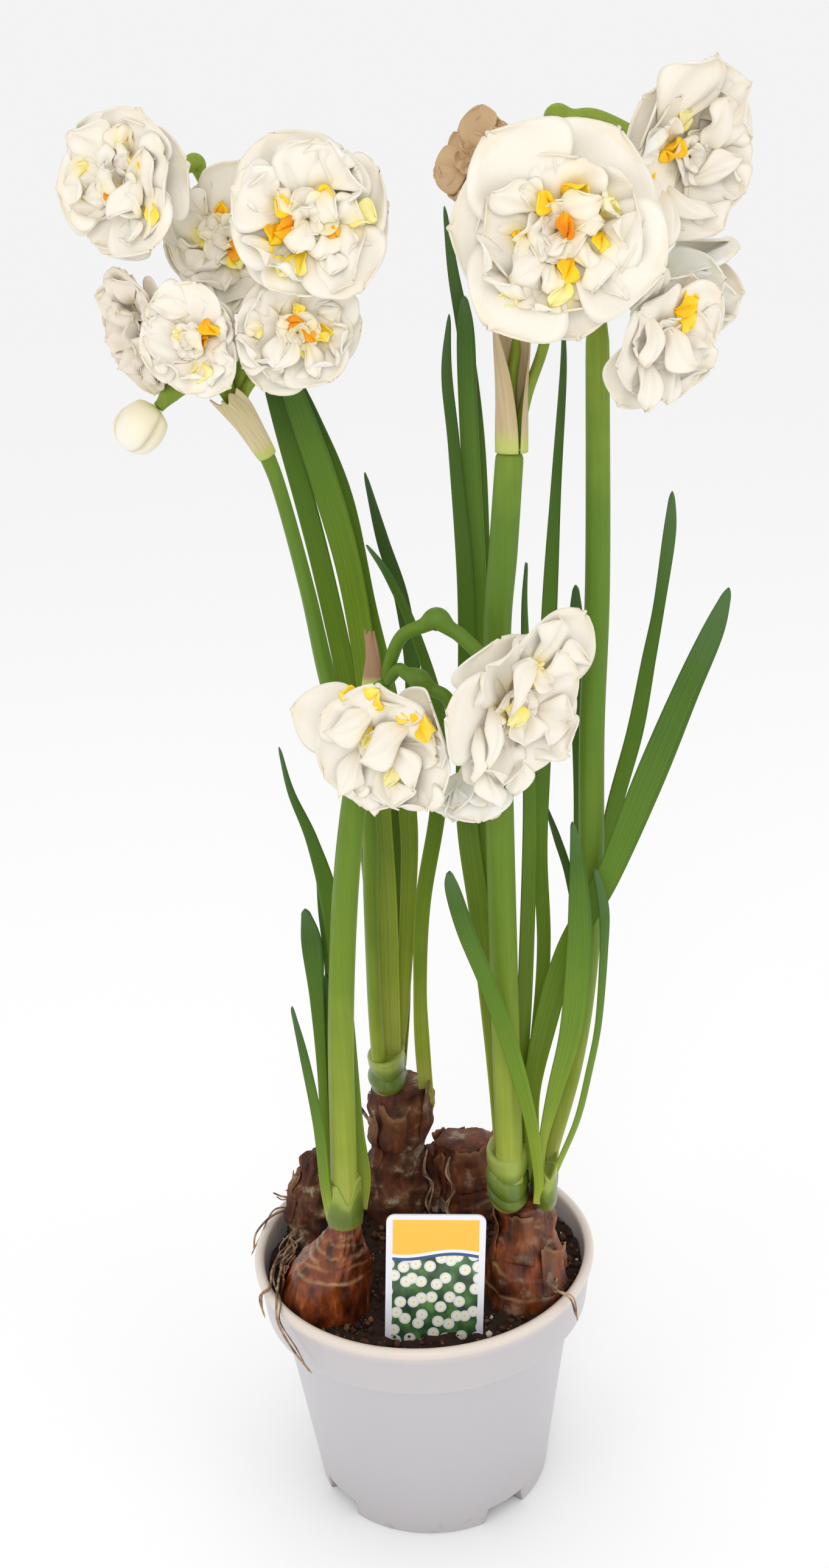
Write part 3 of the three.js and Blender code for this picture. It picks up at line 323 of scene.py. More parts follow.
# A crumb is an icosahedron of twelve points, each moved in or out by its own seeded share.
golden = (1 + 5 ** 0.5) / 2
lump = np.array([(0, a, b * golden) for a in (-1, 1) for b in (-1, 1)], float)
lump = np.concatenate([lump, np.roll(lump, 1, axis=1), np.roll(lump, 2, axis=1)]) / np.hypot(1, golden)
lump_faces = np.array([(i, j, k) for i in range(12) for j in range(i + 1, 12) for k in range(j + 1, 12)
                       if max(np.linalg.norm(lump[i] - lump[j]), np.linalg.norm(lump[j] - lump[k]),
                              np.linalg.norm(lump[i] - lump[k])) < 1.1])
lump_out = np.einsum("fc,fc->f", np.cross(lump[lump_faces[:, 1]] - lump[lump_faces[:, 0]],
                                          lump[lump_faces[:, 2]] - lump[lump_faces[:, 0]]),
                     lump[lump_faces].mean(1)) > 0
lump_faces = np.where(lump_out[:, None], lump_faces, lump_faces[:, ::-1])
draw = np.random.default_rng(7)
crumb_radius = soil_edge * np.sqrt(draw.uniform(0, 1, CRUMBS))
crumb_angle = draw.uniform(0, 2 * np.pi, CRUMBS)
crumb_x, crumb_y = crumb_radius * np.cos(crumb_angle), crumb_radius * np.sin(crumb_angle)
crumb_size = 0.45 + 1.2 * draw.uniform(0, 1, CRUMBS) ** 3
crumb_z = soil_height(crumb_x, crumb_y) + 0.5 * draw.normal(size=CRUMBS) + 0.3
crumb_form = lump[None] * crumb_size[:, None, None] * draw.uniform(0.6, 1.3, (CRUMBS, 12, 1))
crumb_points = crumb_form + np.stack([crumb_x, crumb_y, crumb_z], -1)[:, None]
crumb_tone = np.repeat(draw.uniform(0, 1, CRUMBS), 12)
crumb_faces = (lump_faces[None] + 12 * np.arange(CRUMBS)[:, None, None]).reshape(-1, 3)
soil_count = soil_points.shape[0] * soil_points.shape[1]

peat, tree = new_material("damp_peat_mix", Roughness=0.95, IOR=1.4)
# Peat with bark and sand: matt dark brown crumbs that differ from one to the next, and a few
# bright grains.
place = add(tree, "TexCoord")
tone = add(tree, "Attribute", attribute_name="tone")
fine = add(tree, "TexNoise", Scale=700.0, Detail=4.0, Vector=place)
mixed = add(tree, "MULTIPLY_ADD", fine, 0.3, tone)
soil_tone = add(tree, "ValToRGB", Fac=mixed, stops={
    0.0: "#1D130E", 0.35: "#2E1E16", 0.7: "#44291C", 0.95: "#5E3A26", 0.96: "#6E4830", 1.0: "#7A5238"})
grain = add(tree, "MapRange", From_Min=WHITE_CRUMBS_FROM, From_Max=0.985, Value=tone)
soil_mix = add(tree, "Mix", Factor=grain, A=soil_tone, B="#CFC4B4")
relief = add(tree, "Bump", Strength=0.6, Distance=0.0006, Height=fine)
dress(tree, Base_Color=soil_mix, Normal=relief)
soil_faces = grid_faces(*soil_points.shape[:2], closed=True)
weld(new_piece("potting_soil", np.concatenate([soil_points.reshape(-1, 3), crumb_points.reshape(-1, 3)]),
               [*soil_faces.tolist(), *(crumb_faces + soil_count).tolist()], peat, "potting_soil", ["soil"],
               {"tone": np.concatenate([np.full(soil_count, 0.2), crumb_tone])}))

# The bulbs: whole bulbs standing half out of the soil. Their dry outer skins are papery, split
# and peeling, and are drawn up into a ragged neck round the shoots.
SKIN_THICKNESS = 0.35
SKIN_STEP = 0.45
BULB_RINGS = 150
BULB_SIDES = 110
FLAP_ROWS = 18
FLAP_COLUMNS = 26
# "levels" are middles and two radii up a bulb, "offset" those of a small bulb beside it, "skins"
# the heights where its skins end, and "flaps" loose skin between two azimuths and two heights.
BULBS = {
    "front_left": {
        "levels": [(-33, -19, 70, 5, 5), (-34, -20, 78, 12.5, 12), (-37, -22, 87, 16.5, 15),
                   (-36.5, -22, 97, 16.5, 15), (-34.5, -22.5, 107, 14.8, 13.8),
                   (-31, -23.5, 116, 11.2, 10.6),
                   (-28.3, -24, 127, 7.6, 7.6)],
        "age": 0.15, "skins": [125.5, 123, 120.5, 118, 115.5, 112, 108.5], "flaps": [(-130, -80, 94, 106)],
    },
    "front_right": {
        "levels": [(34, -16, 70, 6, 7), (35, -17, 78, 12, 13), (38, -19, 87, 15.5, 17),
                   (38, -19, 99, 15.5, 17), (38, -18, 110, 13.5, 15.5), (38.5, -15, 117, 12, 14),
                   (39, -13, 128, 13, 14)],
        "age": 0.4, "skins": [125, 120.5, 114, 106.5, 97],
        "flaps": [(20, 70, 98, 118), (-40, 10, 110, 127), (-110, -60, 108, 128)],
    },
    "back_middle": {
        "levels": [(-9, 31, 78, 5, 5), (-9, 31, 84, 10, 10), (-9.5, 31, 95, 12.5, 12.5),
                   (-9.5, 31, 114, 12.5, 12.5), (-8.5, 29, 126, 10.5, 11), (-7, 27, 134, 12.5, 12),
                   (-6.5, 27, 146, 13.5, 12.5), (-6, 27, 154, 13, 12)],
        "age": 0.75, "skins": [147, 139, 131, 121, 108],
        "flaps": [(-100, -40, 118, 150), (-40, 10, 128, 153), (40, 80, 132, 158), (200, 250, 120, 152)],
        "offset": [(5, 35, 80, 4, 6), (5, 35, 95, 6, 9), (5, 34, 111, 5.4, 8), (5.5, 33, 121, 3, 4.5)],
    },
    "back_right": {
        "levels": [(19, 34, 70, 5, 5), (19, 34, 76, 11, 11), (18.8, 34, 90, 14, 13),
                   (18.8, 34, 106, 14, 13), (18.8, 33, 117, 13.6, 12), (18.6, 32, 124.5, 13, 10.5)],
        "age": 0.6, "skins": [119, 110, 100],
        "flaps": [(-90, -40, 104, 124), (-20, 50, 106, 126), (180, 250, 104, 127)],
    },
    "back_left": {
        "levels": [(-38, 20, 74, 5, 5), (-40, 21, 82, 9.5, 9.5), (-42, 22, 92, 11, 11),
                   (-42, 21, 108, 10.5, 10.5), (-41, 20, 120, 7.5, 7.5), (-40, 19, 130, 4, 4.5)],
        "age": 0.85, "skins": [118, 106], "flaps": [(-120, -60, 100, 126), (150, 210, 98, 122)],
    },
}


def smooth_line(rows, t):
    """A uniform Catmull-Rom curve through the rows, with mirrored end rows: its points and its
    slopes at the shares t of the way."""
    rows = np.asarray(rows, float)
    ends = np.vstack([2 * rows[0] - rows[1], rows, 2 * rows[-1] - rows[-2]])
    spot = np.clip(t, 0, 1) * (len(rows) - 1)
    first = np.minimum(spot.astype(int), len(rows) - 2)
    w = (spot - first)[..., None]
    a, b, c, d = (ends[first + k] for k in range(4))
    bend = 2 * a - 5 * b + 4 * c - d
    turn = 3 * b - a - 3 * c + d
    point = 0.5 * (2 * b + (c - a) * w + bend * w ** 2 + turn * w ** 3)
    slope = 0.5 * ((c - a) + 2 * bend * w + 3 * turn * w ** 2)
    return point, slope


def bulb_surface(bulb, angle, share, relief_seed):
    """Points of a ribbed oval body and how near each is to a torn edge. At the share s of the way
    up its levels and the angle a the radius is the level's, times 1 + 0.03 sin(5a + 1.9 level)
    + 0.015 sin(3a - level), with wrinkles and, on an old bulb, lumps. Each outer skin ends at its
    own height in a ragged edge, below which the radius is SKIN_STEP larger."""
    level = share * (len(bulb["levels"]) - 1)
    x, y, z, radius_x, radius_y = np.moveaxis(smooth_line(bulb["levels"], share)[0], -1, 0)
    wave = 1 + 0.03 * np.sin(5 * angle + 1.9 * level) + 0.015 * np.sin(3 * angle - level)
    ring_x, ring_y = 12 * np.cos(angle), 12 * np.sin(angle)
    flat = vectors(ring_x, ring_y, 0.3 * z)
    added = 0.2 * ripples(flat, 3.2, relief_seed) + 0.14 * ripples(flat, 1.6, relief_seed + 1)
    added = added + 1.3 * bulb["age"] * ripples(vectors(x + ring_x, y + ring_y, z), 9, relief_seed)
    torn = 0 * added
    for order, height in enumerate(bulb["skins"]):
        edge_line = vectors(ring_x, ring_y, 3 * order + 0 * z)
        ragged = ripples(edge_line, 14, relief_seed + order)
        ragged = ragged + 0.35 * ripples(edge_line, 3.5, relief_seed + order)
        edge = height + 1.3 * np.sin(angle + 1.9 * order) + (0.5 + 1.4 * bulb["age"]) * ragged
        below = edge - z
        added = added + SKIN_STEP * (np.tanh(3 * below) - 1) / 2
        torn = np.maximum(torn, np.exp(-((below - 0.3) / 0.5) ** 2) * (0.3 + 0.7 * ragged))
    points = vectors(x + (radius_x * wave + added) * np.cos(angle),
                     y + (radius_y * wave + added) * np.sin(angle), z)
    # How near a point is to a torn edge, less on an old bulb: it sets the pale edge and its painted
    # highlight.
    return points, np.clip(torn, 0, 1) * (1.1 - bulb["age"])


def slabs(middle, thickness):
    """Closed plates from a batch of grids (plate, row, column, xyz): each grid is set off by half
    the thickness to both sides along its normals, and a rim joins the two faces."""
    plates, rows, columns, _ = middle.shape
    down = np.gradient(middle, axis=1)
    over = np.gradient(middle, axis=2)
    normal = np.cross(over, down)
    normal /= np.maximum(np.linalg.norm(normal, axis=-1, keepdims=True), 1e-9)
    shift = normal * np.asarray(thickness)[..., None] / 2
    points = np.stack([middle + shift, middle - shift], 1)
    size = rows * columns
    index = np.arange(size).reshape(rows, columns)
    front = grid_faces(rows, columns)
    edge = np.concatenate([index[0, :-1], index[:-1, -1], index[-1, :0:-1], index[:0:-1, 0]])
    after = np.roll(edge, -1)
    rim = np.stack([after, edge, edge + size, after + size], -1)
    quads = np.concatenate([front, front[:, ::-1] + size, rim])
    faces = quads[None] + 2 * size * np.arange(plates)[:, None, None]
    return points, faces.reshape(-1, 4)


def capped(rings):
    """Rings of points with one more ring at each end, drawn together to the end ring's middle."""
    return np.concatenate([rings[:1].mean(1, keepdims=True) + 0 * rings[:1], rings,
                           rings[-1:].mean(1, keepdims=True) + 0 * rings[-1:]])


def joined(parts):
    """Several (points, faces) shells as one list of points and one of faces."""
    points, faces, start = [], [], 0
    for part_points, part_faces in parts:
        points.append(np.asarray(part_points).reshape(-1, 3))
        rows = part_faces if isinstance(part_faces, list) else part_faces.tolist()
        faces.extend([[i + start for i in face] for face in rows])
        start += len(points[-1])
    return np.concatenate(points), faces


bulb_skin, tree = new_material("dry_bulb_skin", Roughness=0.5, IOR=1.45)
# Dry tunic of a narcissus bulb: chestnut brown paper in layers, streaked from neck to base, with
# a dull gloss where it is taut, and grey and black where it is old, torn or dirty.
place = add(tree, "TexCoord")
age, peeled = (add(tree, "Attribute", attribute_name=name) for name in ("age", "peeled"))
drawn = add(tree, "Mapping", Scale=(1.0, 1.0, 0.4), Vector=place)
streak = add(tree, "TexNoise", Scale=190.0, Detail=6.0, Roughness=0.6, Vector=drawn)
patch = add(tree, "TexNoise", Scale=95.0, Detail=5.0, Roughness=0.6, Vector=place)
brown = add(tree, "ValToRGB", Fac=streak, stops={
    0.3: "#28100A", 0.43: "#4E210B", 0.54: "#733310", 0.64: "#8F481A", 0.78: "#BA854E"})
old = add(tree, "ValToRGB", Fac=patch, stops={
    0.3: "#160D09", 0.42: "#2B1A11", 0.5: "#4A2B18", 0.57: "#6C4B30", 0.64: "#A3927E"})
worn = add(tree, "MULTIPLY_ADD", patch, 1.6, add(tree, "MULTIPLY_ADD", age, 1.5, -1.25), use_clamp=True)
aged = add(tree, "Mix", Factor=worn, A=brown, B=old)
bright = add(tree, "MULTIPLY", peeled, 0.35)
lit = add(tree, "Mix", Factor=bright, A=aged, B="#8A5A36")
# Torn skin edges: pale paper, and a painted highlight along them.
rim = add(tree, "MULTIPLY", add(tree, "Attribute", attribute_name="edge"), 0.75)
skin_tone_and_edge_highlight = add(tree, "Mix", Factor=rim, A=lit, B="#B08C62")
gloss = add(tree, "MapRange", From_Max=0.8, To_Min=0.2, To_Max=0.8, Value=age)
both = add(tree, "ADD", streak, patch)
relief = add(tree, "Bump", Strength=0.35, Distance=0.0008, Height=both)
dress(tree, Base_Color=skin_tone_and_edge_highlight, Normal=relief, Roughness=gloss)

for order, (name, bulb) in enumerate(BULBS.items()):
    share = np.linspace(0, 1, BULB_RINGS)[:, None]
    angle = around(BULB_SIDES)[None]
    shells, peel, edges = [], [], []
    for part, key in enumerate(key for key in ("levels", "offset") if key in bulb):
        body, torn = bulb_surface({**bulb, "levels": bulb[key]}, angle, share, 20 + 10 * part + order)
        body = capped(body)
        shells.append((body, grid_faces(*body.shape[:2], closed=True)))
        edges.append(np.pad(torn, ((1, 1), (0, 0)), "edge").ravel())
        peel.append(0 * edges[-1])
    heights = np.array([row[2] for row in bulb["levels"]], float)
    for flap, (start, end, bottom, top) in enumerate(bulb["flaps"]):
        up = np.linspace(0, 1, FLAP_ROWS)[:, None]
        over = np.linspace(0, 1, FLAP_COLUMNS)[None]
        edge_line = vectors(14 * over, 9.0 * flap + 0 * over, 0 * over)
        ragged = ripples(edge_line, 12, 60 + order) + 0.3 * ripples(edge_line, 2.5, 61 + order)
        tear = 0.84 + 0.16 * np.tanh(0.9 * ragged)
        at_height = bottom + (top - bottom) * up * tear
        along = np.interp(np.minimum(at_height, heights[-1]), heights, np.linspace(0, 1, len(heights)))
        turned = np.radians(start + (end - start) * over) - np.pi / 2
        sheet = bulb_surface(bulb, turned + 0 * up, along, 20 + order)[0]
        middle = bulb_surface(bulb, turned + np.pi + 0 * up, along, 20 + order)[0]
        outward = sheet - middle
        outward /= np.linalg.norm(outward, axis=-1, keepdims=True)
        lift = 0.3 + (1.3 + 0.9 * np.sin(3 * flap + order)) * up ** 2 * (0.5 + 2 * np.abs(over - 0.5))
        sheet = sheet + outward * lift[..., None]
        sheet[..., 2] += np.maximum(at_height - heights[-1], 0)
        shells.append(slabs(sheet[None], SKIN_THICKNESS))
        peel.append(np.tile((up + 0 * over).ravel(), 2))
        # The top edge of a loose flap gets a little of the pale edge and its painted highlight.
        edges.append(np.tile((0.25 * (up > 0.93) + 0 * over).ravel(), 2))
    points, faces = joined(shells)
    weld(new_piece(f"bulb_skin_{name}", points, faces, bulb_skin, "bulb_skin", [f"bulb_{name}"],
                   {"age": np.full(len(points), bulb["age"]), "peeled": np.concatenate(peel),
                    "edge": np.concatenate(edges)}))

# The loose roots: thin dry roots that hang out of the pot's lip, left from when the bulbs were
# lifted. They are pale brown strings about a millimetre thick, curling as they dried.
ROOT_RADIUS = 0.6
ROOT_TIP_RADIUS = 0.35
STRAY = 1.6
ROOT_SIDES = 8
ROOT_STEPS = 40
ROOTS = [
    [(-46, 12, 97), (-53, 3, 97), (-54, -8, 98.5), (-54.5, -20, 101), (-54.5, -34, 102.2), (-54, -41, 97),
     (-48.5, -47, 89), (-42, -51.5, 82)],
    [(-49, 8, 95), (-56, -2, 97), (-57.5, -14, 100), (-57.5, -27, 102.4), (-61.5, -27, 98), (-60, -29, 90)],
    [(-46, 5, 96), (-49, -4, 97), (-51, -12, 96.5), (-53, -20, 96), (-49, -26, 94)],
    [(-48, 15, 100), (-51.5, 9, 98), (-50, 0, 98), (-54, -7, 97), (-56, -16, 96)],
    [(-44, 20, 102), (-52, 21, 103), (-59.5, 18, 102.5), (-65.5, 12, 99), (-66.5, 8, 94)],
    [(45, -28, 96), (47, -34, 99.5), (49, -38.5, 102.4), (52.5, -42.5, 101.8), (54, -44.5, 96)],
    [(-46, 24, 104), (-51, 28, 104), (-56, 31, 102.6), (-60, 33.5, 103)],
    [(-47, 20, 98), (-52, 15, 95), (-54, 8, 93.5), (-53, 0, 93)],
    [(-46, 25, 110), (-49, 30, 108), (-52, 33, 104), (-55, 34, 103.5)],
    [(3, 24, 126), (1.5, 20.5, 119), (4, 20, 112), (1.5, 18, 105), (4.5, 16, 98)],
    [(12, 24, 122), (10, 21.5, 116), (13, 20, 109), (9, 19.5, 102), (12, 16, 96.5)],
    [(27, 24, 124), (30, 27, 130), (33, 28, 129), (34, 27, 126)],
]


def tube(rows, sides, steps, ridge=0.0, ridges=6):
    """A closed round tube along a smooth line through rows of (x, y, z, radius): each ring lies
    across the line, and the radius is multiplied by 1 + ridge cos(ridges a). Ends are domed."""
    t = np.linspace(0, 1, steps)
    spot, slope = smooth_line(rows, t)
    along = slope[:, :3] / np.linalg.norm(slope[:, :3], axis=1, keepdims=True)
    least = np.eye(3)[np.argmin(np.abs(along).max(0))]
    across = np.cross(along, least)
    across /= np.linalg.norm(across, axis=1, keepdims=True)
    upward = np.cross(along, across)
    angle = around(sides)
    dome = np.sqrt(np.clip(1 - (1 - np.minimum(t, 1 - t) * steps / 2.5).clip(0) ** 2, 0.01, 1))
    size = (np.maximum(spot[:, 3], 0.2) * dome)[:, None] * (1 + ridge * np.cos(ridges * angle))
    ring = np.cos(angle)[None, :, None] * across[:, None] + np.sin(angle)[None, :, None] * upward[:, None]
    points = spot[:, None, :3] + ring * size[..., None]
    last = (steps - 1) * sides
    return points, [*grid_faces(steps, sides, closed=True).tolist(), list(range(sides - 1, -1, -1)),
                    list(range(last, last + sides))]


root_fibre, tree = new_material("dry_root_fibre", Roughness=0.85, IOR=1.4)
# Dry roots: pale woody brown, mottled with soil.
place = add(tree, "TexCoord")
mottle = add(tree, "TexNoise", Scale=260.0, Detail=3.0, Vector=place)
root_tone = add(tree, "ValToRGB", Fac=mottle, stops={0.35: "#5F4735", 0.5: "#96765C", 0.68: "#BCA084"})
relief = add(tree, "Bump", Strength=0.4, Distance=0.0004, Height=mottle)
dress(tree, Base_Color=root_tone, Normal=relief)

draw = np.random.default_rng(11)
root_shells = []
for root in ROOTS:
    for strand in range(2):
        rows = np.array(root, float)
        rows[1:] += draw.normal(scale=STRAY, size=rows[1:].shape) * (strand > 0)
        radius = np.linspace(ROOT_RADIUS, ROOT_TIP_RADIUS, len(rows)) * (1 if strand == 0 else 0.7)
        root_shells.append(tube(np.column_stack([rows, radius]), ROOT_SIDES, ROOT_STEPS))
new_piece("loose_roots", *joined(root_shells), root_fibre, "bulb_skin")

# The stick label: a thin printed plastic card on a pointed stake, pushed into the soil and
# leaning back a little. Its print is a plain yellow field over a panel of white flower dots.
LABEL_WIDTH = 35.5
LABEL_HEIGHT = 52
LABEL_CORNER = 3
LABEL_THICKNESS = 0.9
STAKE_LENGTH = 26
LABEL_LEAN = -3
LABEL_TURN = 3.5
LABEL_PLACE = (2.2, -44, SOIL_LEVEL - 2)

arc = np.radians(np.linspace(0, 90, 9))
corner = LABEL_CORNER * np.stack([np.cos(arc), np.sin(arc)], -1)
corner_left = LABEL_CORNER * np.stack([-np.sin(arc), np.cos(arc)], -1)
inset = np.array([LABEL_WIDTH / 2 - LABEL_CORNER, LABEL_HEIGHT - LABEL_CORNER])
outline = np.concatenate([
    [(-LABEL_WIDTH / 2, 0), (-4, -6), (0, -STAKE_LENGTH), (4, -6), (LABEL_WIDTH / 2, 0)],
    inset + corner, inset * (-1, 1) + corner_left,
])
count = len(outline)
card = np.concatenate([np.column_stack([outline[:, 0], np.full(count, side), outline[:, 1]])
                       for side in (-LABEL_THICKNESS / 2, LABEL_THICKNESS / 2)])
ring = np.arange(count)
card_faces = [list(range(count)), list(range(2 * count - 1, count - 1, -1)),
              *np.stack([np.roll(ring, -1), ring, ring + count, np.roll(ring, -1) + count], -1).tolist()]
turned = Matrix.Rotation(np.radians(LABEL_LEAN), 3, "X") @ Matrix.Rotation(np.radians(LABEL_TURN), 3, "Y")
card_points = card @ np.array(turned).T + LABEL_PLACE

printed_card, tree = new_material("printed_plastic_card", Roughness=0.32, IOR=1.5, Coat_Weight=0.3,
                                  Coat_Roughness=0.15)
# Varnished offset print on polystyrene card: a bare white margin, flat inks and a satin varnish.
print_place = add(tree, "UVMap", uv_map="print")
split = add(tree, "SeparateXYZ", print_place).node.outputs
across, upward = split["X"], split["Y"]
from_middle = add(tree, "ABSOLUTE", add(tree, "SUBTRACT", across, 0.5))
inside_sides = add(tree, "LESS_THAN", from_middle, 0.435)
inside_top = add(tree, "LESS_THAN", upward, 0.965)
inside_panel = add(tree, "MULTIPLY", inside_sides, inside_top)
wave = add(tree, "SINE", add(tree, "MULTIPLY_ADD", across, 6.2, 3.6))
wave_line = add(tree, "MULTIPLY_ADD", wave, 0.022, 0.69)
above = add(tree, "SUBTRACT", upward, wave_line)
turned_print = add(tree, "Mapping", Scale=(1.0, 1.35, 1.0), Rotation=(0.0, 0.0, 0.5), Vector=print_place)
dots = add(tree, "TexVoronoi", voronoi_dimensions="2D", Scale=7.0, Randomness=0.7, Vector=turned_print)
grass = add(tree, "TexNoise", Scale=5.0, Detail=3.0, Vector=print_place)
garden = add(tree, "ValToRGB", Fac=grass, stops={0.35: "#20382A", 0.5: "#3C6238", 0.65: "#5F8A4A"})
flowers = add(tree, "ValToRGB", Fac=dots, stops={
    0.0: "#E9C24A", 0.09: "#EFE7B8", 0.18: "#F3F1EA", 0.42: "#D3D6D0"})
flower_share = add(tree, "LESS_THAN", dots, 0.42)
panel = add(tree, "Mix", Factor=flower_share, A=garden, B=flowers)
wave_bands = add(tree, "GREATER_THAN", above, 0.0)
blue_line = add(tree, "COMPARE", above, -0.012, 0.012)
white_line = add(tree, "COMPARE", above, 0.012, 0.012)
fields = add(tree, "Mix", Factor=wave_bands, A=panel, B="#F3BE3E")
with_blue = add(tree, "Mix", Factor=blue_line, A=fields, B="#2C4F7C")
with_white = add(tree, "Mix", Factor=white_line, A=with_blue, B="#F0EFF4")
label_tone = add(tree, "Mix", Factor=inside_panel, A="#E9E8F2", B=with_white)
dress(tree, Base_Color=label_tone)

label = new_piece("stick_label", card_points, card_faces, printed_card, "label_plastic", ["label"])
label.data.polygons.foreach_set("use_smooth", np.zeros(len(label.data.polygons), bool))
card_uv = np.column_stack([card[:, 0] / LABEL_WIDTH + 0.5, card[:, 2] / LABEL_HEIGHT])
corner_point = np.zeros(len(label.data.loops), np.int32)
label.data.loops.foreach_get("vertex_index", corner_point)
print_uv = label.data.uv_layers.new(name="print")
print_uv.data.foreach_set("uv", card_uv[corner_point].astype(np.float32).ravel())

# The flower stems: hollow green stems a little under a centimetre thick, with a slight ribbing,
# and at their tips the thin stalks of the blooms, each swollen into a seed pod behind its bloom.
STEMS = {
    "left": [(-13.6, 23, 156.5, 2.7), (-14, 21, 190, 2.7), (-13, 18, 236, 2.8), (-12, 16, 270, 3),
             (-17, 14, 299, 3.2), (-23, 12, 322, 3.1), (-28, 10, 355, 2.6), (-34, 7.5, 387, 2.4),
             (-38, 5.5, 402, 2.6), (-42.5, 3, 412.5, 3)],
    "low": [(-27.8, -24, 129.5, 4.9), (-27, -24, 155, 4.8), (-25, -24.5, 204, 4.6),
            (-21, -25, 251, 4.5), (-16, -25, 287, 4.3), (-10, -26, 314, 4.1), (-4, -26, 335, 3.2)],
    "right": [(33, -21, 130.5, 4.8), (33, -21, 160, 4.9), (33, -21, 223, 4.9), (33.2, -21, 282, 4.8),
              (34, -21, 342, 4.5), (37, -21, 374, 4.6), (40, -21, 406, 4.4)],
    "tall": [(46.5, -10, 130.5, 2.9), (49, -10, 145, 3.1), (57, -10, 178, 3.7), (62, -9.5, 211, 4.2),
             (65, -8.5, 251, 4.4), (66, -8, 307, 4.3), (68.5, -7, 360, 4.1), (69.3, -6, 446, 3.7)],
}
STEM_SIDES = 28
STEM_STEPS = 110
STEM_RIDGES = 7
STEM_RIDGE_DEPTH = 0.02
STALK_SIDES = 16
STALK_STEPS = 60
BUD_STALK_STEPS = 50
STALK_SPREAD = 1.2
STALK_RADIUS = 1.7
POD_BEHIND = 13
POD_HALF_LENGTH = 5
CLEARANCE = 0.3
